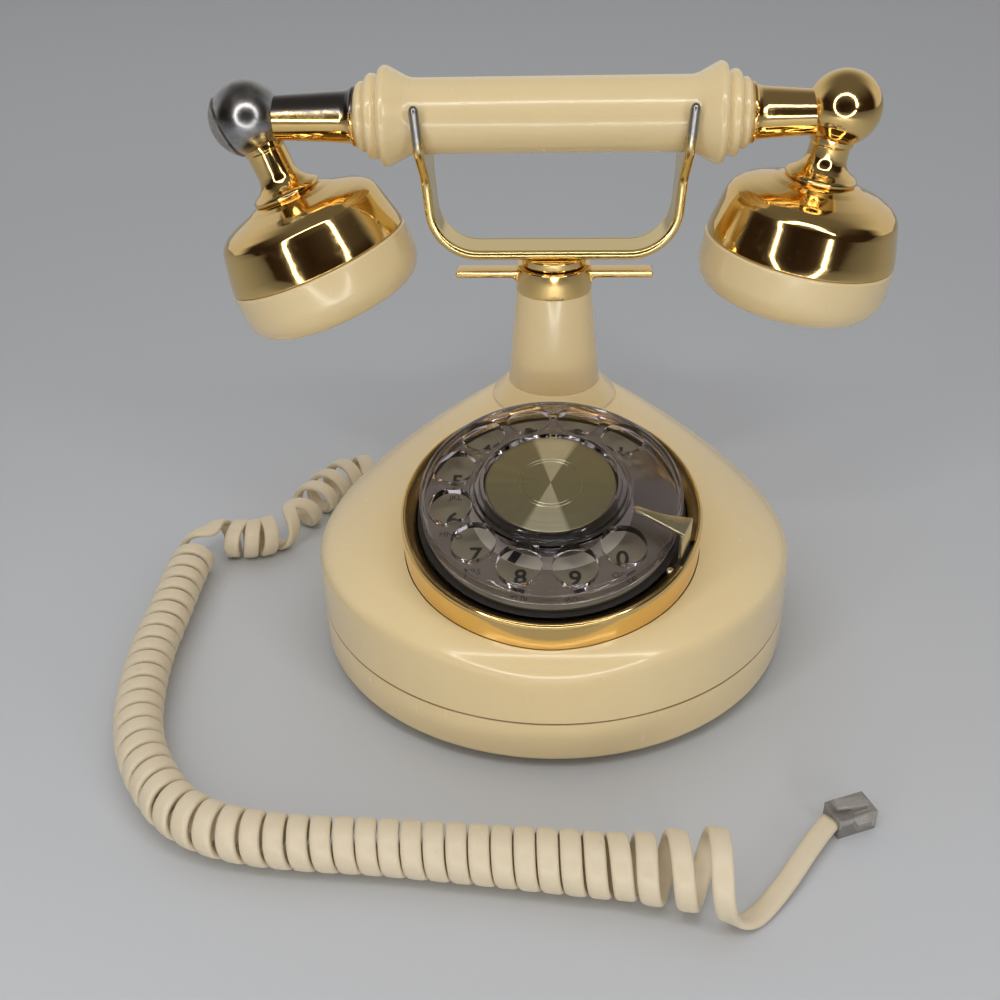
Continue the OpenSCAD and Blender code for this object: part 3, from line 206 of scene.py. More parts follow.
def joined_cord():
    """The whole strip: out of the gland, through the turns and along the lead to the plug."""
    line, face = wind()
    entry = (line[1] - line[0]) / np.linalg.norm(line[1] - line[0])
    between = (gland_tip + 6 * gland_way + line[0] - 7 * entry) / 2
    root = [gland_tip, gland_tip + 3 * gland_way, between, line[0] - 3.5 * entry, line[0]]
    root = smooth_line(root, line_step)
    root[:, 2] = np.maximum(root[:, 2], strip_thick / 2)
    tail = smooth_line([line[-1]] + lead_route, line_step)[1:]
    tail[:, 2] = np.maximum(tail[:, 2], strip_thick / 2)
    points = np.concatenate([root[:-1], line, tail])
    # Over the lead's first 10 mm, the strip turns until it lies flat.
    turned = np.clip(np.arange(1, len(tail) + 1) * line_step / 10, 0, 1)[:, None]
    turned = turned ** 2 * (3 - 2 * turned)
    faces = np.concatenate([np.tile(face[0], (len(root) - 1, 1)), face,
                            face[-1] * (1 - turned) + np.array([0, 0, -1.0]) * turned])
    along = np.concatenate([[0], np.cumsum(np.linalg.norm(np.diff(points, axis=0), axis=1))])
    points, faces = eased(points, along), eased(faces, along)
    points[:, 2] = np.maximum(points[:, 2], strip_thick / 2)
    return points, faces


def eased(rows, along, step=1.2, spread=1.7, reach=5):
    """The rows at even steps along the cord, with their sharpest turns softened."""
    even = np.linspace(0, along[-1], int(along[-1] / step))
    rows = np.stack([np.interp(even, along, rows[:, k]) for k in range(3)], 1)
    weight = np.exp(-0.5 * (np.arange(-reach, reach + 1) * step / spread) ** 2)
    weight /= weight.sum()
    before, after = 2 * rows[0] - rows[reach:0:-1], 2 * rows[-1] - rows[-2:-reach - 2:-1]
    padded = np.concatenate([before, rows, after])
    return np.stack([np.convolve(padded[:, k], weight, "valid") for k in range(3)], 1)


def placed(name, data):
    """A new object of the scene from a mesh, a text or a lamp."""
    made = bpy.data.objects.new(name, data)
    bpy.context.collection.objects.link(made)
    return made


def strip_mesh(name, points, faces, material):
    """A flat strip with rounded edges along points, its flat side turned to faces."""
    sides, edge_round, flat_round, clear_of_table = 14, 0.55, 0.7, 0.05
    section = []
    for k in range(sides):
        a = 2 * math.pi * k / sides
        c, d = math.cos(a), math.sin(a)
        section.append((math.copysign(abs(c) ** edge_round, c) * strip_wide / 2,
                        math.copysign(abs(d) ** flat_round, d) * strip_thick / 2))
    section = np.array(section)[None]
    ahead = np.gradient(points, axis=0)
    ahead /= np.linalg.norm(ahead, axis=1)[:, None]
    out = faces - (faces * ahead).sum(1)[:, None] * ahead
    out /= np.linalg.norm(out, axis=1)[:, None]
    across = np.cross(ahead, out)
    low = points[:, 2] - abs(across[:, 2]) * strip_wide * 0.46 - abs(out[:, 2]) * strip_thick / 2
    points = points + np.maximum(0, clear_of_table - low)[:, None] * (0, 0, 1)
    verts = (points[:, None] + section[:, :, 0:1] * across[:, None]
             + section[:, :, 1:2] * out[:, None]).reshape(-1, 3) * mm
    count = len(points)
    quads = [(i * sides + k, i * sides + (k + 1) % sides,
              (i + 1) * sides + (k + 1) % sides, (i + 1) * sides + k)
             for i in range(count - 1) for k in range(sides)]
    quads += [tuple(range(sides))[::-1], tuple((count - 1) * sides + k for k in range(sides))]
    mesh = bpy.data.meshes.new(name)
    mesh.from_pydata(verts.tolist(), [], quads)
    mesh.shade_smooth()
    mesh.materials.append(material)
    return placed(name, mesh)


cord_points, cord_faces = joined_cord()
sheath = finish_cord()
cord = strip_mesh("curly-cord", cord_points, cord_faces, sheath)
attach(cord, "base")
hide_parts("cord_root", "curly_cord", "cord_lead")
cord_length = float(np.linalg.norm(np.diff(cord_points, axis=0), axis=1).sum()) * mm

# The pan: the round foot of the base, injection moulded in glossy styrene that has
# yellowed a little unevenly. Its tongue fits in the shell, its rear wall is open
# for the line jack, and the cord's gland goes through beside it.
base_r, wall, foot_h = 75.6, 2.5, 3.0
seam_z, seam_gap, tongue_h = 17.0, 0.1, 2.0


def finish_ivory():
    f = Finish("ivory moulding")
    cloud = f.noise(0.05, 3)
    speck = f.between(f.noise(0.0016, 2, 0.6), 0.70, 0.78)
    colour = f.mix(cloud, (0.84, 0.67, 0.375), (0.88, 0.71, 0.405))
    colour = f.mix(speck * 0.10, colour, (0.42, 0.30, 0.16))
    above = f.height() - seam_z * mm
    seam = 1 - f.between((above * above) ** 0.5, 0.0001, 0.0005)
    colour = f.mix(seam * 0.8, colour, (0.30, 0.17, 0.07))
    ripple = f.noise(0.012, 2)
    scuff = f.between(f.noise(0.004, 5, 0.75, (1, 1, 0.2)), 0.6, 0.75)
    return f.surface(Base_Color=colour, Roughness=0.2 + scuff * 0.12 + cloud * 0.05,
                     Normal=f.bump(ripple, 0.00004, f.bump(f.noise(0.0006, 2), 0.000004)),
                     IOR=1.5, Coat_Weight=0.35, Coat_Roughness=0.12,
                     Subsurface_Weight=0.05, Subsurface_Radius=(1.0, 0.6, 0.3),
                     Subsurface_Scale=0.003)


ivory = finish_ivory()


def rounded(outline, closed):
    """The outline with each corner (r, z, size) turned into an arc of that size."""
    made, n = [], len(outline)
    for i, corner in enumerate(outline):
        p = np.array(corner[:2], float)
        size = corner[2] if len(corner) > 2 else 0
        if not size or (not closed and i in (0, n - 1)):
            made.append(tuple(p))
            continue
        a = np.array(outline[i - 1][:2], float) - p
        b = np.array(outline[(i + 1) % n][:2], float) - p
        la, lb = np.linalg.norm(a), np.linalg.norm(b)
        a, b = a / la, b / lb
        half = math.acos(max(-1, min(1, float(a @ b)))) / 2
        if half > 1.56:
            made.append(tuple(p))
            continue
        reach = min(size / math.tan(half), la * 0.49, lb * 0.49)
        size = reach * math.tan(half)
        centre = p + (a + b) / np.linalg.norm(a + b) * size / math.sin(half)
        start, end = p + a * reach - centre, p + b * reach - centre
        turn = math.atan2(start[0] * end[1] - start[1] * end[0], start @ end)
        steps = max(2, int(abs(turn) / 0.22))
        for k in range(steps + 1):
            c, d = math.cos(turn * k / steps), math.sin(turn * k / steps)
            made.append((centre[0] + c * start[0] - d * start[1],
                         centre[1] + d * start[0] + c * start[1]))
    return made


def tidy(made, sharp=32):
    """Joins a mesh's double points, turns its faces out and keeps its sharp edges."""
    work = bmesh.new()
    work.from_mesh(made.data)
    bmesh.ops.remove_doubles(work, verts=work.verts, dist=1e-7)
    bmesh.ops.recalc_face_normals(work, faces=work.faces)
    work.to_mesh(made.data)
    work.free()
    made.data.shade_smooth()
    made.data.set_sharp_from_angle(angle=math.radians(sharp))


def millimetre_mesh(name, verts, faces):
    mesh = bpy.data.meshes.new(name)
    mesh.from_pydata([tuple(c * mm for c in v) for v in verts], [], faces)
    return mesh


def piece(name, shape, material, slot, body, *stands_for, sharp=32):
    """A mesh piece in millimetres, set on its body in place of CAD nodes."""
    mesh = millimetre_mesh(name, *shape)
    mesh.validate()
    made = placed(name, mesh)
    mesh.materials.append(material)
    tidy(made, sharp)
    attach(made, body)
    if stands_for:
        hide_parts(*stands_for)
    return made


def lathe(outline, place=Matrix(), sides=144):
    """Vertices and faces of an outline of (radius, height, corner) turned round Z."""
    closed = outline[0][0] > 1e-6
    line = rounded(outline, closed)
    verts, faces, n = [], [], len(line)
    for k in range(sides):
        a = 2 * math.pi * k / sides
        for r, z in line:
            verts.append(tuple(place @ Vector((r * math.cos(a), r * math.sin(a), z))))
    for k in range(sides):
        j = (k + 1) % sides
        for i in range(n if closed else n - 1):
            i2 = (i + 1) % n
            quad = [k * n + i, j * n + i, j * n + i2, k * n + i2]
            if line[i][0] < 1e-6:
                quad = [quad[0], quad[2], quad[3]]
            elif line[i2][0] < 1e-6:
                quad = quad[:3]
            faces.append(tuple(quad))
    return verts, faces


def applied(made):
    """The mesh of a piece with its modifiers worked out."""
    bpy.context.view_layer.update()
    whole = made.evaluated_get(bpy.context.evaluated_depsgraph_get())
    return bpy.data.meshes.new_from_object(whole)


def settle(made):
    """Puts a piece's modifiers into its mesh."""
    mesh = applied(made)
    made.modifiers.clear()
    made.data = mesh
    return mesh


def cut(made, *tools, how="DIFFERENCE"):
    """Takes the tool meshes out of a piece, or keeps what lies in them."""
    for tool in tools:
        step = made.modifiers.new("cut", "BOOLEAN")
        step.operation, step.solver, step.object = how, "EXACT", tool
    settle(made)
    for tool in tools:
        bpy.data.objects.remove(tool)
    tidy(made)


def tool(shape):
    """A mesh in millimetres that only cuts."""
    made = placed("tool", millimetre_mesh("tool", *shape))
    tidy(made)
    return made


def slab(low, high, place=Matrix()):
    """A block between two corners."""
    corners = [(x, y, z) for x in (low[0], high[0])
               for y in (low[1], high[1]) for z in (low[2], high[2])]
    faces = [(0, 1, 3, 2), (4, 6, 7, 5), (0, 4, 5, 1), (2, 3, 7, 6), (0, 2, 6, 4), (1, 5, 7, 3)]
    return [tuple(place @ Vector(c)) for c in corners], faces


def round_tool(r, low, high, place=Matrix(), sides=144):
    """A plain round tool about Z."""
    return tool(lathe([(0, low), (r, low), (r, high), (0, high)], place, sides))


lip_r, tongue_r = base_r - 1.2, base_r - wall - 0.6
pan = piece("pan", lathe([
    (0, foot_h), (base_r, foot_h, 2), (base_r, seam_z - seam_gap, 0.35),
    (lip_r, seam_z - seam_gap, 0.3),
    (lip_r, seam_z - 0.8), (tongue_r, seam_z - 0.8), (tongue_r, seam_z + tongue_h, 0.3),
    (tongue_r - 1.4, seam_z + tongue_h, 0.3), (tongue_r - 1.4, foot_h + wall), (0, foot_h + wall)],
    sides=256), ivory, "ivory_moulding", "base", "base_pan")
along_x = Matrix.Rotation(math.pi / 2, 4, "Y")
gland_place = (Matrix.Rotation(gland_angle, 4, "Z") @ Matrix.Translation((base_r, 0, gland_z))
               @ along_x)
cut(pan, tool(slab((-6.5, 59.6, 5.5), (6.5, 80, 30))), round_tool(4.0, -9, 8, gland_place, 48))

# The shell: round at the seam, with a crown that runs up to the column and is
# cut away at the dial's slope. It is one moulding with a rounded shoulder.
crown_z, column_y, flange_r = 64.5, 36.8, 20.8
dial_tilt = math.radians(15.8)
crown_spread, crown_curve, rear_spread = 2.333, 0.0143, 0.5
corner_power, front_ease, shell_sides = 24, 16, 288


def shell_point(t, a, r, drop=0.0):
    """The point at angle a and depth t under the crown, on a skin of radius r at its foot."""
    w = flange_r + crown_spread * t - crown_curve * t * t
    m = column_y - flange_r - t / math.tan(dial_tilt) + w
    b = column_y + flange_r + rear_spread * t - m if math.sin(a) > 0 else w
    crown = 1 / math.sqrt((math.cos(a) / w) ** 2 + (math.sin(a) / b) ** 2)
    side = -m * math.sin(a) + math.sqrt(r * r - (m * math.cos(a)) ** 2)
    power = corner_power - front_ease * max(0.0, -math.sin(a)) ** 6
    share = min(1.0, max(0.0, (seam_z + 8 - crown_z + drop + t) / 4))
    d = side * share + (crown ** -power + side ** -power) ** (-1 / power) * (1 - share)
    return (d * math.cos(a), m + d * math.sin(a), crown_z - drop - t)


def shell_skin(inset, rings, edge=0.0):
    """One skin of the shell, from its crown to the seam, with a rounded edge there."""
    drop = inset * 1.1
    deep = crown_z - drop - (seam_z + seam_gap)
    rows = [deep * k / rings for k in range(rings + 1)]
    if edge:
        rows = [t for t in rows if t < deep - edge]
        rows += [deep - edge * (1 - math.sin(q)) for q in np.linspace(0, math.pi / 2, 6)]
    verts, faces, n = [], [], shell_sides
    for t in rows:
        pull = 0.0
        if edge and t > deep - edge:
            pull = edge - math.sqrt(max(0, edge ** 2 - (t - deep + edge) ** 2))
        for k in range(n):
            verts.append(shell_point(t, 2 * math.pi * k / n, base_r - inset - pull, drop))
    for i in range(len(rows) - 1):
        for k in range(n):
            j = (k + 1) % n
            faces.append((i * n + k, (i + 1) * n + k, (i + 1) * n + j, i * n + j))
    return verts, faces, (len(rows) - 1) * n


outer, outer_faces, outer_foot = shell_skin(0, 76, 0.45)
inner, inner_faces, inner_foot = shell_skin(wall, 40)
shift, n = len(outer), shell_sides
faces = outer_faces + [tuple(i + shift for i in reversed(f)) for f in inner_faces]
faces += [(outer_foot + k, shift + inner_foot + k, shift + inner_foot + (k + 1) % n,
           outer_foot + (k + 1) % n) for k in range(n)]
faces += [tuple(range(n)), tuple(shift + k for k in range(n - 1, -1, -1))]
shell = piece("shell", (outer + inner, faces), ivory, "ivory_moulding", "base", "base_shell")
dial_middle, dial_well_r, column_hole_r = (0, -31.6, 67.1), 44.3, 8.5
dial_place = Matrix.Translation(dial_middle) @ Matrix.Rotation(dial_tilt, 4, "X")
column_place = Matrix.Translation((0, column_y, 0))
cut(shell, round_tool(dial_well_r, -60, 30, dial_place, 192),
    round_tool(column_hole_r, 40, 80, column_place, 96))

# The column: a flange ring that hides the nut, and a tapered tube. Both are ivory
# mouldings, and the nut under the crown clamps them to the shell.
flange_top, collar_z = 70.3, 101.9
piece("flange", lathe([
    (8.6, crown_z), (flange_r, crown_z, 0.2), (20.6, 65.3, 0.5), (15.9, 70.1, 0.4),
    (15.4, flange_top, 0.2), (8.6, flange_top)], column_place),
    ivory, "ivory_moulding", "base", "column_flange")
piece("column", lathe([
    (2.5, 53.8), (8.5, 53.8), (8.5, flange_top), (15.1, flange_top, 0.2), (12.0, collar_z, 0.3),
    (6.4, collar_z), (6.4, 57.8), (2.5, 57.8)], column_place),
    ivory, "ivory_moulding", "base", "column")

# The collar: a brass cap on the column, copper flashed, polished and plated with gold
# to a mirror. Its two flat arms stop the cradle from turning.


def finish_gold():
    f = Finish("gold plating")
    patch = f.noise(0.02, 3)
    rub = f.between(f.noise(0.007, 5, 0.7), 0.52, 0.72)
    pit = f.between(f.noise(0.0011, 2, 0.6), 0.72, 0.8)
    colour = f.mix(patch, (0.86, 0.60, 0.23), (0.8944, 0.636, 0.2645))
    colour = f.mix(pit * 0.35, colour, (0.24, 0.17, 0.08))
    return f.surface(Base_Color=colour, Metallic=1.0,
                     Roughness=0.07 + patch * 0.05 + rub * 0.08 + pit * 0.2,
                     Normal=f.bump(f.noise(0.009, 2), 0.00003,
                                   f.bump(f.noise(0.0008, 3), 0.000003)))


gold = finish_gold()
collar_top, slide_r = 110.5, 6.05
piece("collar", lathe([
    (slide_r, 96.9), (6.38, 96.9), (6.38, collar_z), (12.1, collar_z, 0.3), (12.1, 103.2, 0.3),
    (11.8, 110.0, 0.5), (slide_r, collar_top, 0.2)], column_place),
    gold, "gold_plating", "base", "collar")


def prism(outline, low, high, place):
    """A flat shape of (u, v) points raised from low to high."""
    n = len(outline)
    verts = [tuple(place @ Vector((u, v, h))) for h in (low, high) for u, v in outline]
    faces = [tuple(range(n))[::-1], tuple(range(n, 2 * n))]
    faces += [(i, (i + 1) % n, n + (i + 1) % n, n + i) for i in range(n)]
    return verts, faces


def soft_prism(name, outline, low, high, place, bevel, material, slot, body, *stands_for):
    """A prism whose edges are rounded by bevel millimetres."""
    made = piece(name, prism(outline, low, high, place), material, slot, body, *stands_for)
    step = made.modifiers.new("edge", "BEVEL")
    step.width, step.segments, step.limit_method = bevel * mm, 3, "ANGLE"
    step.angle_limit = math.radians(30)
    mesh = settle(made)
    mesh.shade_smooth()
    mesh.set_sharp_from_angle(angle=math.radians(50))


def arc(cx, cy, r, a0, a1, steps=8):
    return [(cx + r * math.cos(math.radians(a0 + (a1 - a0) * i / steps)),
             cy + r * math.sin(math.radians(a0 + (a1 - a0) * i / steps))) for i in range(steps + 1)]


arm_z, arm_root, arm_half, arm_tip_r, arm_fillet = 106.2, 10.5, 3.25, 1.05, 1.8
arm_outline = ([(arm_root, arm_z + 2.1)] + arc(30.35, arm_z + arm_tip_r, arm_tip_r, 90, -90)
               + arc(13.9, arm_z - arm_fillet, arm_fillet, 90, 180)
               + [(arm_root, arm_z - arm_fillet)])
face_on = column_place @ Matrix.Rotation(math.pi / 2, 4, "X")
for name, side in (("arm-right", 1), ("arm-left", -1)):
    soft_prism(name, [(side * u, v) for u, v in arm_outline], -arm_half, arm_half,
               face_on, 0.35, gold, "gold_plating", "base")

# The cradle: a cast band bent up at both sides, each arm split into two tines
# that hold the grip. Its hub slides in the collar and works the hook switch.
cradle_z, rod_bore = 113.3, 2.42
piece("hub", lathe([
    (rod_bore, 102.5), (6, 102.5), (6, collar_top), (10.2, collar_top, 0.4), (10.3, 111, 0.3),
    (10.3, 113.1, 0.5), (9.7, cradle_z, 0.3), (rod_bore, cradle_z)], column_place),
    gold, "gold_plating", "cradle", "plunger_hub")
band_t, band_half, corner_r, half_w, lean = 3.0, 5.65, 14.7, 38.2, math.radians(4)
grip_z, fork_r, tine_t, tine_top, tip_h = 156.1, 12.0, 2.7, 162.2, 1.6
fork_z, split_z, parted_z = grip_z + 0.98, 136.5, 150


def cradle_rows():
    """Points (x, z) and slope of the band's middle line, from its middle to the tip of one tine."""
    mid, bend_x = cradle_z + band_t / 2, half_w - corner_r
    rows = [(x, mid, 0.0) for x in np.linspace(0, bend_x, 10)[:-1]]
    for q in np.linspace(-math.pi / 2, -lean, 20):
        rows.append((bend_x + corner_r * math.cos(q),
                     mid + corner_r + corner_r * math.sin(q), q + math.pi / 2))
    foot = rows[-1]
    up = list(np.linspace(foot[1], tine_top - tip_h, 40))[1:]
    up += [tine_top - tip_h * (1 - math.sin(q)) for q in (0.4, 0.8, 1.2, 1.5)]
    for z in up:
        rows.append((foot[0] + (z - foot[1]) * math.tan(lean), z, math.pi / 2 - lean))
    return rows


def rod_y(z):
    """How far the round edge of the band lies from the column's axis at height z."""
    t = min(1.0, max(0.0, (z - split_z) / (parted_z - split_z)))
    under = 0.35 * (z < cradle_z)
    return band_half + under + (fork_r + tine_t / 2 - band_half) * t * t * (3 - 2 * t)


# The band is a flat web between two round edges. These run up into the tines,
# which part round the grip.
half, web_inset = band_t / 2, 0.1
web_half = half - web_inset
line = cradle_rows()
web = [r for r in line[9:] if r[1] < grip_z - 2]
out_line = [(x + web_half * math.sin(q), z - web_half * math.cos(q)) for x, z, q in web]
in_line = [(x - web_half * math.sin(q), z + web_half * math.cos(q)) for x, z, q in web]
front = out_line + in_line[::-1]
front += [(-x, z) for x, z in in_line] + [(-x, z) for x, z in out_line[::-1]]
side_right = [(rod_y(z), z) for z in np.linspace(cradle_z - 1, grip_z - 5, 40)]
side_right += [(fork_r * math.cos(q), fork_z + fork_r * math.sin(q))
               for q in np.linspace(-0.45, -math.pi / 2, 20)]
side = side_right + [(-u, v) for u, v in side_right[::-1][1:]]


def rods():
    """The round edges in front and behind, each from one tine's tip to the other's."""
    verts, faces, n = [], [], 20
    rows = [(-x, z, -q) for x, z, q in line[:0:-1]] + line
    for sign in (-1, 1):
        first = len(verts)
        for x, z, q in rows:
            tip = min(1.0, max(0.0, (tine_top - z) / tip_h))
            size = math.sqrt(max(0.004, 1 - (1 - tip) ** 2))
            for k in range(n):
                a = 2 * math.pi * k / n
                u, v = tine_t / 2 * size * math.cos(a), half * size * math.sin(a)
                verts.append((x + v * math.sin(q), column_y + sign * rod_y(z) + u,
                              z - v * math.cos(q)))
        for i in range(len(rows) - 1):
            a, b = first + i * n, first + (i + 1) * n
            faces += [(a + k, a + (k + 1) % n, b + (k + 1) % n, b + k) for k in range(n)]
        last = first + (len(rows) - 1) * n
        faces += [tuple(first + k for k in range(n)), tuple(last + k for k in range(n))]
    return verts, faces


def finish_cradle():
    """Gold that has worn to bare metal at the tips of the tines."""
    f = Finish("gold plating worn at the tines")
    patch = f.noise(0.004, 4, 0.65)
    worn = f.between(f.height() + (patch - 0.5) * 0.012, 0.1485, 0.1545)
    colour = f.mix(worn, f.mix(patch, (0.80, 0.62, 0.27), (0.86, 0.68, 0.31)), (0.36, 0.35, 0.33))
    return f.surface(Base_Color=colour, Metallic=1.0, Roughness=0.14 + patch * 0.12 + worn * 0.1,
                     Normal=f.bump(patch, 0.00003))


worn_gold = finish_cradle()
cradle = piece("cradle-web", prism(front, -40, 40, face_on), worn_gold, "gold_plating",
               "cradle", "cradle")
side_on = Matrix(((0, 0, 1, 0), (1, 0, 0, column_y), (0, 1, 0, 0), (0, 0, 0, 1)))
cut(cradle, tool(prism(side, -60, 60, side_on)), how="INTERSECT")
piece("cradle-edges", rods(), worn_gold, "gold_plating", "cradle", sharp=80)

# The handset's grip: a turned ivory tube with a flared rim and two rings at each
# end, drawn up on a steel tube by the gold necks.
handset_x, handset_tilt, grip_half = -0.7, math.radians(-2.7), 58.5
handset_place = (Matrix.Translation((handset_x, column_y, grip_z))
                 @ Matrix.Rotation(handset_tilt, 4, "X"))
grip_line = [
    (3.1, -58.5), (8.6, -58.5, 0.2), (9.6, -57.9, 0.5), (10.2, -57.2, 0.5), (10.2, -56.3, 0.5),
    (9.8, -55.3, 0.15), (11.7, -55.1, 0.5), (12.4, -54.2, 0.6), (12.4, -52.9, 0.7),
    (11.8, -51.8, 0.2), (12.0, -51.4, 0.15), (14.0, -50.9, 0.6), (14.6, -49.9, 0.6),
    (14.6, -48.8, 0.8), (13.8, -47.3, 2), (12.7, -45.3, 3), (11.6, -43.2, 3), (11.0, -41.6, 4),
    (11.0, -38, 20)]
grip_line = grip_line + [(r, -z, *c) for r, z, *c in reversed(grip_line)]
piece("grip-tube", lathe(grip_line, handset_place @ along_x),
      ivory, "ivory_moulding", "handset", "grip")

# Necks, balls and bells: turned brass pieces in mirror gold. The left ball has lost
# its gold and shows grey, and holds the clear socket of the cord.
ball_r, neck_r, neck_bore, left_neck, right_neck = 11.0, 6.5, 3.02, 24.6, 18.3
ball_seat = math.sqrt(ball_r ** 2 - neck_r ** 2)
left_x, right_x = -(grip_half + left_neck + ball_seat), grip_half + right_neck + ball_seat
left_ball_place = handset_place @ Matrix.Translation((left_x, 0, 0.2))
right_ball_place = handset_place @ Matrix.Translation((right_x, 0, 1.2))


def neck(name, length, x, turn, material, node):
    """A turned neck that leaves the grip at x and reaches into its ball."""
    piece(name, lathe([
        (neck_bore, 0), (8.5, 0, 0.25), (8.8, 0.35, 0.25), (8.8, 0.95, 0.25), (8.2, 1.5, 0.5),
        (7.7, 2.6, 1.5), (7.5, 3.9, 3), (neck_r, length), (neck_r, length + 4),
        (neck_bore, length + 4)], handset_place @ Matrix.Translation((x, 0, 0))
        @ Matrix.Rotation(turn, 4, "Y")),
        material, "gold_plating", "handset", node)


def finish_neck_left():
    """The top of the left neck has rubbed through to grey and black."""
    f = Finish("gold plating rubbed on top")
    patch = f.noise(0.005, 4, 0.7)
    worn = f.between(f.height() + (patch - 0.5) * 0.005, 0.1572, 0.1598)
    colour = f.mix(worn, (0.86, 0.60, 0.23), (0.16, 0.15, 0.14))
    return f.surface(Base_Color=colour, Metallic=1.0, Roughness=0.08 + patch * 0.06 + worn * 0.1,
                     Normal=f.bump(patch, 0.00002))


neck("left-neck", left_neck, -grip_half, -math.pi / 2, finish_neck_left(), "neck_left")
neck("right-neck", right_neck, grip_half, math.pi / 2, gold, "neck_right")


def finish_worn_ball():
    f = Finish("plating worn to grey")
    patch = f.noise(0.006, 5, 0.65)
    colour = f.mix(f.between(patch, 0.35, 0.7), (0.27, 0.27, 0.28), (0.44, 0.43, 0.41))
    colour = f.mix(f.between(f.height() + (patch - 0.5) * 0.006, 0.1505, 0.147) * 0.7, colour,
                   (0.78, 0.58, 0.25))
    return f.surface(Base_Color=colour, Metallic=1.0, Roughness=0.16 + patch * 0.18,
                     Normal=f.bump(patch, 0.00003))


socket_r, socket_z, socket_floor = 6.2, 6.6, -2


def ball_arc(low, high, steps):
    return [(ball_r * math.cos(q), ball_r * math.sin(q)) for q in np.linspace(low, high, steps)]


socket_place = left_ball_place @ Matrix.Rotation(math.radians(-115), 4, "Y")
piece("left-ball", lathe(
    [(0, -ball_r)] + ball_arc(-1.5, math.asin(socket_z / ball_r), 60)
    + [(socket_r, socket_z), (socket_r, socket_floor), (0, socket_floor)], socket_place),
    finish_worn_ball(), "worn_plating", "handset", "ball_left")
piece("right-ball", lathe([(0, -ball_r)] + ball_arc(-1.52, 1.52, 80) + [(0, ball_r)],
                          right_ball_place),
      gold, "gold_plating", "handset", "ball_right")


def bell(place, length, end):
    """Stem, bell and screw cap that hang from one ball. The cap has 19 sound holes."""
    l, waist = length, length + 9
    rim = waist + 12
    piece(end + "-stem", lathe([
        (0, 6.5), (6.1, 6.5), (6.6, 7.6, 0.3), (6.6, 10.3, 0.4), (6.1, 10.9, 0.5),
        (6.1, l - 7.2, 4), (6.35, l - 5.8, 2), (7.0, l - 4.5, 2), (8.4, l - 3.1, 3),
        (10.2, l - 2.1, 0.8), (10.9, l - 1.4, 0.5), (10.9, l - 0.6, 0.5), (10.2, l, 0.2),
        (4, l), (4, l + 3.2), (0, l + 3.2)], place),
        gold, "gold_plating", "handset", "stem_" + end)
    piece(end + "-bell", lathe([
        (4.02, l + 0.02), (11.1, l + 0.02, 0.3), (11.8, l + 0.35, 0.5), (12.6, l + 0.6, 0.8),
        (14.3, l + 1.5, 4), (20.0, l + 3.2, 12), (23.3, l + 4.6, 6), (25.3, l + 6.1, 3),
        (26.4, l + 7.7, 2), (26.9, waist + 0.3, 3), (29.1, rim - 3, 20), (29.6, rim - 0.3, 0.4),
        (29.2, rim, 0.2), (28.4, rim), (27.9, rim - 3), (25.7, waist + 0.2), (23.8, waist - 2.0),
        (20, l + 4.4), (14.1, l + 2.7), (4.02, l + 1.4)], place),
        gold, "gold_plating", "handset", "bell_" + end)
    edge = [(22.5 + 7.4 * math.cos(q), rim + 8.5 + 8.7 * math.sin(q))
            for q in np.linspace(0, 1.5, 20)]
    cap = piece(end + "-cap", lathe([
        (25.3, rim - 4), (27.3, rim - 4), (27.3, rim + 0.15), (29.4, rim + 0.15, 0.3),
        (29.9, rim + 0.7, 0.5)] + edge + [(16, rim + 17.1, 10), (0.5, rim + 16.7),
        (0.5, rim + 15.2), (21, rim + 15.2), (25.3, rim + 9.5)], place),
        ivory, "ivory_moulding", "handset", "cap_" + end)
    hole_r, hole_pitch = 0.9, 4.2
    holes = []
    for ring in (0, 1, 2):
        for k in range(max(1, ring * 6)):
            a = math.radians(60 * k / max(ring, 1))
            spot = Matrix.Translation((ring * hole_pitch * math.cos(a),
                                       ring * hole_pitch * math.sin(a), 0))
            holes.append(round_tool(hole_r, rim + 9, rim + 21, place @ spot, 20))
    cut(cap, *holes)


bell(left_ball_place @ Matrix.Rotation(math.radians(180 - 21.3), 4, "Y")
     @ Matrix.Translation((-0.7, 0, 0)), 25.3, "left")
bell(right_ball_place @ Matrix.Rotation(math.radians(3.7), 4, "X")
     @ Matrix.Rotation(math.radians(190), 4, "Y") @ Matrix.Translation((0.7, 0, 0)), 21.6, "right")

# The finger wheel: clear acrylic, moulded with a stepped hub and ten holes whose
# rims are cut on a curved web. It is a little scratched, and turns with the disc.


def finish_clear(name, tint, clarity=1.0):
    f = Finish(name)
    haze = f.between(f.noise(0.005, 5, 0.7), 0.55, 0.8)
    return f.surface(Base_Color=f.mix(haze, tint, tuple(c * 0.94 for c in tint)),
                     Roughness=0.03 + haze * 0.08, IOR=1.49, Transmission_Weight=clarity,
                     Normal=f.bump(f.noise(0.008, 2), 0.00002))


clear = finish_clear("clear acrylic", (0.66, 0.61, 0.65))
shaft_r, ring_of_holes, finger_r, first_hole, hole_step = 3.02, 29.4, 6.4, 44, 30
wheel = piece("wheel", lathe([
    (shaft_r, -3), (19.6, -3, 0.3), (22, -3, 0.3), (22, -0.8, 0.3), (ring_of_holes, -1.2),
    (36.6, -2.4, 0.3), (36.6, -5, 0.4), (38.1, -5, 0.4), (38.1, -0.9, 0.8), (37.2, 0, 0.6),
    (ring_of_holes, 1.2, 20), (23.6, 1.5, 0.3), (23.2, 2.2, 0.3), (22.2, 2.3, 0.2),
    (21.8, 3.2, 0.3),
    (20.6, 3.2, 0.2), (20.2, 3.5, 0.2), (19.3, 3.5, 0.3), (18.75, 2.7, 0.1), (18.75, 1.8),
    (shaft_r, 1.8)], dial_place, 192), clear, "clear_plastic", "dial", "finger_wheel")


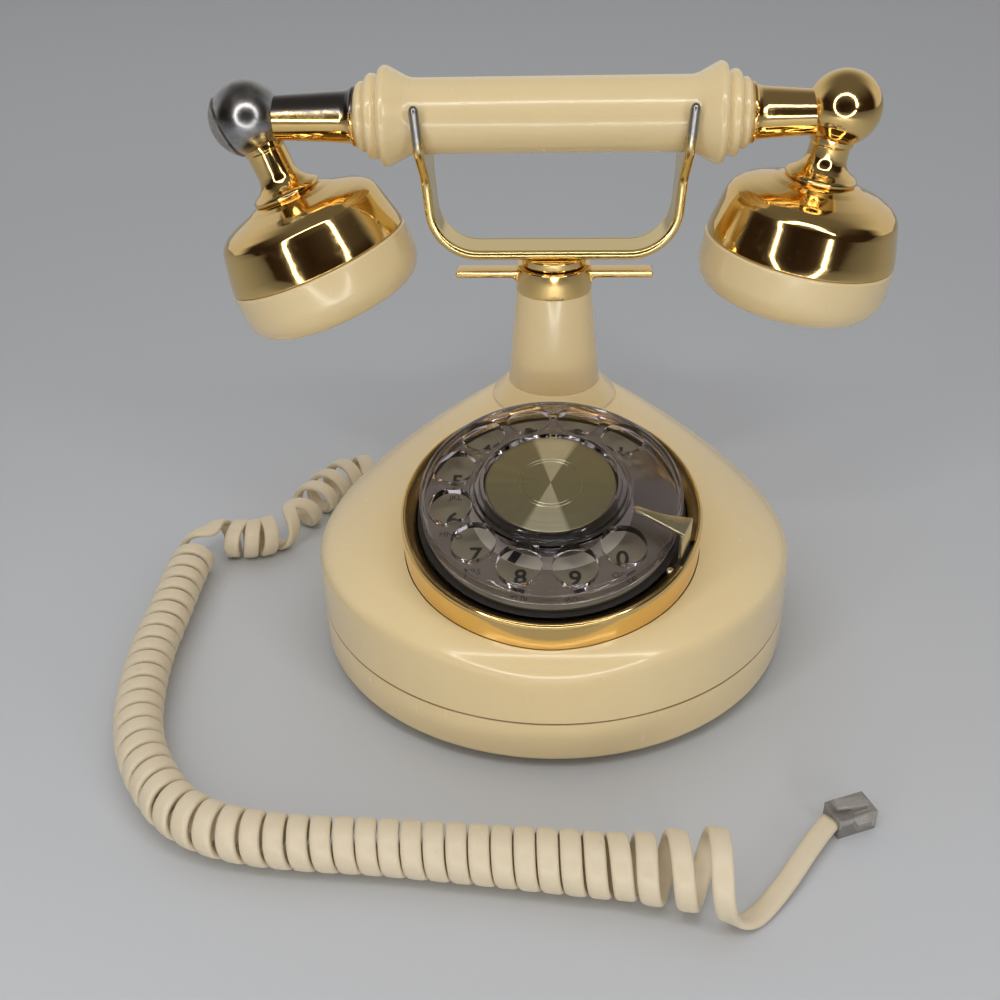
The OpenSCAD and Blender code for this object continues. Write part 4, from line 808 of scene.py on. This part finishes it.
def hole_spot(i):
    """The middle of the hole for digit i + 1, right of the dial's middle and up its slope."""
    a = math.radians(first_hole + hole_step * i)
    return ring_of_holes * math.cos(a), ring_of_holes * math.sin(a)


cut(wheel, *[round_tool(finger_r, -12, 8, dial_place @ Matrix.Translation((*hole_spot(i), 0)), 72)
             for i in range(10)])

# The centre disc: a brass sheet spun on a lathe, with a plain double ring turned in
# its middle. It is pressed into the hub and hides the shaft's nut.


def on_dial(f):
    """How far a point lies right of the dial's middle, up its slope, and from its middle."""
    local = f.node("Mapping", {"vector_type": "TEXTURE"},
                   {"Vector": f.node("TexCoord", output=3), "Rotation": (dial_tilt, 0, 0),
                    "Location": tuple(dial_place.translation * mm)})
    x, y = (f.node("SeparateXYZ", {}, {0: local}, output=k) for k in (0, 1))
    return x, y, (x * x + y * y) ** 0.5


def finish_spun():
    """Fine grooves round the dial's middle, and two fans of painted highlight laid in the colour.
    """
    f = Finish("spun brass with painted highlight fans")
    x, y, radius = on_dial(f)
    groove = f.node("TexNoise", {"noise_dimensions": "1D"},
                    {"W": radius, "Scale": 9000.0, "Detail": 3.0})
    turn = f.node("Math", {"operation": "ARCTAN2"}, {0: y, 1: x})
    fans = f.node("TexNoise", {"noise_dimensions": "1D"}, {"W": turn, "Scale": 5.0, "Detail": 4.0})
    off = x - y * 0.07
    ratio = (off * off) ** 0.5 / ((y * y) ** 0.5 + 0.00001)
    # The two fans up and down the slope are painted pale: a painted highlight.
    painted_highlight_fans = 1 - f.between(ratio + (fans - 0.5) * 0.12, 0.30, 0.44)
    colour = f.mix(fans * 0.3 + groove * 0.3, (0.30, 0.27, 0.16), (0.50, 0.46, 0.29))
    colour = f.mix(painted_highlight_fans * 0.75, colour, (0.95, 0.90, 0.66))
    return f.surface(Base_Color=colour, Metallic=0.9, Roughness=0.28 + groove * 0.1,
                     Normal=f.bump(groove, 0.00003))


disc_z, groove_z = 2.8, 2.68
piece("disc", lathe([
    (0, 1.82), (18.65, 1.82, 0.2), (18.65, 2.6, 0.3), (9.7, disc_z), (9.55, groove_z),
    (9.35, groove_z),
    (9.2, disc_z), (8.6, disc_z), (8.45, groove_z), (8.25, groove_z), (8.1, 2.82), (0, 2.9)],
    dial_place), finish_spun(), "spun_brass", "dial", "centre_disc")

# The bezel: a pressed gold ring round the well of the dial. Its inner slope goes down
# to the plate and is painted dark brown as painted shade, and a slot in it takes the finger stop.


def finish_bezel():
    """Gold outside and on the crest, and painted dark brown on the inner slope as painted shade."""
    f = Finish("gold plating with painted shade inside")
    radius = on_dial(f)[2]
    patch = f.noise(0.008, 5, 0.7)
    # Inside the crest the gold is painted dark brown: painted shade on the inner slope.
    inner = f.between(radius + (patch - 0.5) * 0.0008, 0.04305, 0.0424)
    colour = f.mix(patch, (0.84, 0.58, 0.22), (0.89, 0.65, 0.28))
    colour = f.mix(inner * 0.85, colour, (0.17, 0.12, 0.055))
    return f.surface(Base_Color=colour, Metallic=1.0, Roughness=0.08 + patch * 0.06 + inner * 0.12,
                     Normal=f.bump(patch, 0.00002))


bezel = piece("bezel", lathe([
    (42.7, -24), (44.1, -24), (44.1, -8.2, 0.9), (43.7, -7.1, 0.7), (43.1, -6.8, 0.6),
    (42.4, -7.2, 0.6), (39.6, -9.4, 0.3), (39.6, -10.1), (42.7, -11)], dial_place, 256),
    finish_bezel(), "gold_plating", "base", "dial_bezel")
stop_place = dial_place @ Matrix.Rotation(math.radians(-24.5), 4, "Z")
slot_half, slot_out = 5.2, 42.9
cut(bezel, tool(slab((38.6, -slot_half, -14), (slot_out, slot_half, -4), stop_place)))

# The number plate: khaki enamel on a stamped disc, fixed under the wheel. Digits and
# letter groups are printed on it, with a cream ring round the hub, and its outer ring is
# painted near-black as painted shadow under the bezel.


def finish_plate():
    f = Finish("khaki enamel with painted shadow rim")
    radius = on_dial(f)[2]
    patch = f.noise(0.01, 4)
    # The outer ring is painted near-black: painted shadow in the gap under the bezel.
    rim = f.between(radius, 0.0370, 0.0374)
    colour = f.mix(patch, (0.22, 0.19, 0.13), (0.28, 0.25, 0.17))
    return f.surface(Base_Color=f.mix(rim, colour, (0.02, 0.016, 0.012)),
                     Roughness=0.42 + patch * 0.15, Normal=f.bump(f.noise(0.001, 3), 0.00001))


plate_z = -8.0
piece("plate", lathe([
    (9, -9.2), (39.2, -9.2), (39.2, -8.9, 0.1), (37.3, -8.9), (37.3, plate_z, 0.2),
    (9, plate_z, 0.2)],
    dial_place, 160), finish_plate(), "number_plate", "base", "number_plate")


def finish_print(name, size, detail, dark, light, rough):
    f = Finish(name)
    return f.surface(Base_Color=f.mix(f.noise(size, detail), dark, light), Roughness=rough)


# Near-black: printed ink on the plate, and painted shade in the stop's slot.
ink_and_slot_shade = finish_print("printed ink", 0.0008, 2, (0.012, 0.011, 0.010), (0.03, 0.028, 0.025), 0.5)
cream = finish_print("cream print", 0.003, 3, (0.60, 0.57, 0.46), (0.68, 0.65, 0.54), 0.45)


def printed(text, x, y, size, name, weight):
    """Raised print a hair thick, laid on the plate and turned upright."""
    words = bpy.data.curves.new(name, "FONT")
    words.body, words.size, words.extrude, words.offset = text, size * mm, 0.00002, weight * mm
    words.align_x, words.align_y = "CENTER", "CENTER"
    written = placed(name, words)
    written.matrix_world = (Matrix.Translation(dial_place @ Vector((x, y, plate_z + 0.05)) * mm)
                            @ Matrix.Rotation(dial_tilt, 4, "X"))
    mesh = applied(written)
    mesh.transform(written.matrix_world)
    bpy.data.objects.remove(written)
    mesh.materials.clear()
    mesh.materials.append(ink_and_slot_shade)
    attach(placed(name, mesh), "base")


ring_in, ring_out = 19, 23.6
piece("plate-ring", lathe([(ring_in, plate_z), (ring_out, plate_z), (ring_out, -7.96),
                           (ring_in, -7.96)],
                          dial_place, 120), cream, None, "base")
soft_prism("ring-mark", [(-1.3, 19.2), (1.3, 19.2), (1.3, 23.4), (-1.3, 23.4)], -7.97, -7.93,
           dial_place @ Matrix.Rotation(math.radians(152), 4, "Z"), 0.01, ink_and_slot_shade, None, "base")
for i, group in enumerate(["", "ABC", "DEF", "GHI", "JKL", "MNO", "PRS", "TUV", "WXY", "OPER"]):
    x, y = hole_spot(i)
    digit = str((i + 1) % 10)
    printed(digit, x, y + 2.0, 7.4, "digit-" + digit, 0.15)
    if group:
        printed(group, x, y - 4.4, 2.7, "letters-" + digit, 0.0)

# The finger stop: a brushed brass strip, cut to a hook over the wheel and bent down
# into the bezel's slot. A near-black block under the slot is painted shade. A rivet
# beside the slot holds it.


def finish_stop():
    f = Finish("brushed brass strip")
    streak = f.noise(0.004, 3, 0.6, (1, 12, 1))
    return f.surface(Base_Color=f.mix(streak, (0.60, 0.53, 0.33), (0.72, 0.65, 0.44)), Metallic=1.0,
                     Roughness=0.24 + streak * 0.1, Normal=f.bump(streak, 0.00001))


brass_strip = finish_stop()
tab_in, tab_out, tab_half = 40.6, 41.8, 3.4
stop_outline = [(28, -0.7), (26.2, -0.5), (25.3, 0.1), (25.5, 0.9), (26.6, 1.3), (31, 1.25),
                (35, 1.7),
                (38.5, 2.6), (tab_out, 3.6), (tab_out, -tab_half)]
soft_prism("stop-arm", stop_outline, 2.8, 4.0, stop_place, 0.25, brass_strip,
           "spun_brass", "base", "finger_stop")
tab_place = stop_place @ Matrix(((0, 0, 1, 0), (1, 0, 0, 0), (0, 1, 0, 0), (0, 0, 0, 1)))
soft_prism("stop-tab", [(-tab_half, -24), (tab_half, -24), (tab_half, 3.2), (-tab_half, 3.2)],
           tab_in, tab_out, tab_place, 0.25, brass_strip, "spun_brass", "base")
# A near-black block under the slot: painted shade where the body is dark inside.
soft_prism("stop-slot", [(39.9, -slot_half), (slot_out, -slot_half), (slot_out, slot_half),
                         (39.9, slot_half)], -12, -9.0, stop_place, 0.1, ink_and_slot_shade, "spun_brass", "base")
piece("stop-rivet", lathe([(0, -0.8), (1.3, -0.8), (1.3, 0.3, 0.2), (1.0, 1.0, 0.5), (0, 1.4)],
                          stop_place @ Matrix.Translation((39.9, -6.7, -9.2)), 32),
      brass_strip, "spun_brass", "base")

# The cord's socket in the left ball, and the plug: both are moulded in clear
# polycarbonate, a little milky. Each keeps its solid and takes a new finish.


def dress(material, *names):
    for name in names:
        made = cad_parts[name]
        made.data.materials.clear()
        made.data.materials.append(material)


milky = finish_clear("clear polycarbonate", (0.70, 0.67, 0.63), 0.72)
dress(milky, "handset_jack", "modular_plug")

# What is inside: steel stampings, brass contacts and gears, and dark mouldings. They
# are held by screws and bosses in the pan, and most are out of sight.


def finish_metal(name, dark, light, rough):
    f = Finish(name)
    patch = f.noise(0.006, 4, 0.6)
    return f.surface(Base_Color=f.mix(patch, dark, light), Metallic=1.0,
                     Roughness=rough + patch * 0.15, Normal=f.bump(f.noise(0.001, 3), 0.00001))


def finish_plain(name, dark, light, rough):
    f = Finish(name)
    patch = f.noise(0.004, 4, 0.6)
    return f.surface(Base_Color=f.mix(patch, dark, light), Roughness=rough + patch * 0.1,
                     Normal=f.bump(f.noise(0.0006, 3), 0.00002))


dress(finish_metal("zinc plated steel", (0.42, 0.43, 0.44), (0.60, 0.61, 0.62), 0.28),
      "ballast_plate", "base_screws", "column_nut", "plunger_rod", "plunger_spring", "hook_bracket",
      "dial_frame", "dial_shaft", "return_spring", "governor_cup", "gong_post", "tie_tube",
      "transmitter", "receiver")
dress(finish_metal("bare brass", (0.58, 0.42, 0.18), (0.72, 0.54, 0.26), 0.25),
      "hook_lever", "hook_contacts", "main_gear", "governor_spindle", "pulse_contacts", "gong",
      "clapper", "plug_contacts")
dress(finish_plain("foot rubber", (0.03, 0.03, 0.03), (0.05, 0.05, 0.05), 0.7), "feet")
dress(finish_plain("dark moulding", (0.04, 0.04, 0.045), (0.06, 0.06, 0.065), 0.4),
      "line_jack", "transmitter_cup", "receiver_cup")
dress(finish_plain("enamelled wire", (0.30, 0.12, 0.04), (0.42, 0.18, 0.06), 0.35), "ringer_coil")
dress(finish_plain("board", (0.10, 0.07, 0.035), (0.14, 0.10, 0.05), 0.5), "network_block")
dress(sheath, "cord_gland")

# The table and the light: a pale plain floor, and a ring of lamps round the lens with
# one place left open. A wide panel overhead and behind fills the shadows, and the
# gold doesn't mirror it.
floor_half = 4
floor_mesh = bpy.data.meshes.new("floor")
floor_mesh.from_pydata([(u * floor_half, v * floor_half, 0)
                        for u, v in ((-1, -1), (1, -1), (1, 1), (-1, 1))],
                       [], [(0, 1, 2, 3)])
floor = placed("floor", floor_mesh)
floor_mesh.materials.append(
    Finish("table top").surface(Base_Color=(0.56, 0.58, 0.61), Roughness=0.5))

lens = camera.matrix_world.translation
ring_r, lamps, lamp_deep, lamp_power = 0.24, 24, 0.03, 0.068
for k in range(lamps - 1):
    around = 2 * math.pi * (k + 0.5) / lamps
    light = bpy.data.lights.new("ring-%d" % k, "AREA")
    light.shape, light.size, light.size_y = "RECTANGLE", 2 * math.pi * ring_r / lamps, lamp_deep
    light.energy, light.color = lamp_power, (1, 0.98, 0.95)
    out = math.cos(around) * level + math.sin(around) * rise
    along = -math.sin(around) * level + math.cos(around) * rise
    turned = Matrix((along, out, -sight)).transposed().to_4x4()
    placed("ring-%d" % k, light).matrix_world = Matrix.Translation(lens + ring_r * out) @ turned

fill = bpy.data.lights.new("fill", "AREA")
fill.shape, fill.size, fill.energy, fill.color = "SQUARE", 2.4, 13, (0.97, 0.98, 1)
panel = placed("fill", fill)
panel.matrix_world = Matrix.Translation((-0.2, 0.5, 1.7)) @ Matrix.Rotation(-0.25, 4, "X")
panel.visible_glossy = False

# The room: dark, with a pale wall on the far side and a grey ceiling for the gold to
# mirror. Seen directly, it is plain and pale.
room = Finish("room", bpy.data.worlds.new("room"))
bpy.context.scene.world = room.made
toward = room.node("TexCoord")
depth, high = (room.node("SeparateXYZ", {}, {0: toward}, k) for k in (1, 2))
mottle = room.node("TexNoise", {}, {"Vector": toward, "Scale": 2.2, "Detail": 2.0})
dark = room.mix(mottle, (0.003, 0.002, 0.002), (0.045, 0.027, 0.018))
lit = room.mix(room.between(depth, -0.1, 0.25), dark, (0.58, 0.57, 0.56))
lit = room.mix(room.between(high, 0.35, 0.95), lit, (0.14, 0.13, 0.12))
seen_directly = room.node("LightPath")
lit = room.mix(seen_directly, lit, (0.62, 0.63, 0.65))
room.node("OutputWorld", {}, {"Surface": room.node("Background", {}, {"Color": lit})})
bpy.context.scene.view_settings.view_transform = "Standard"
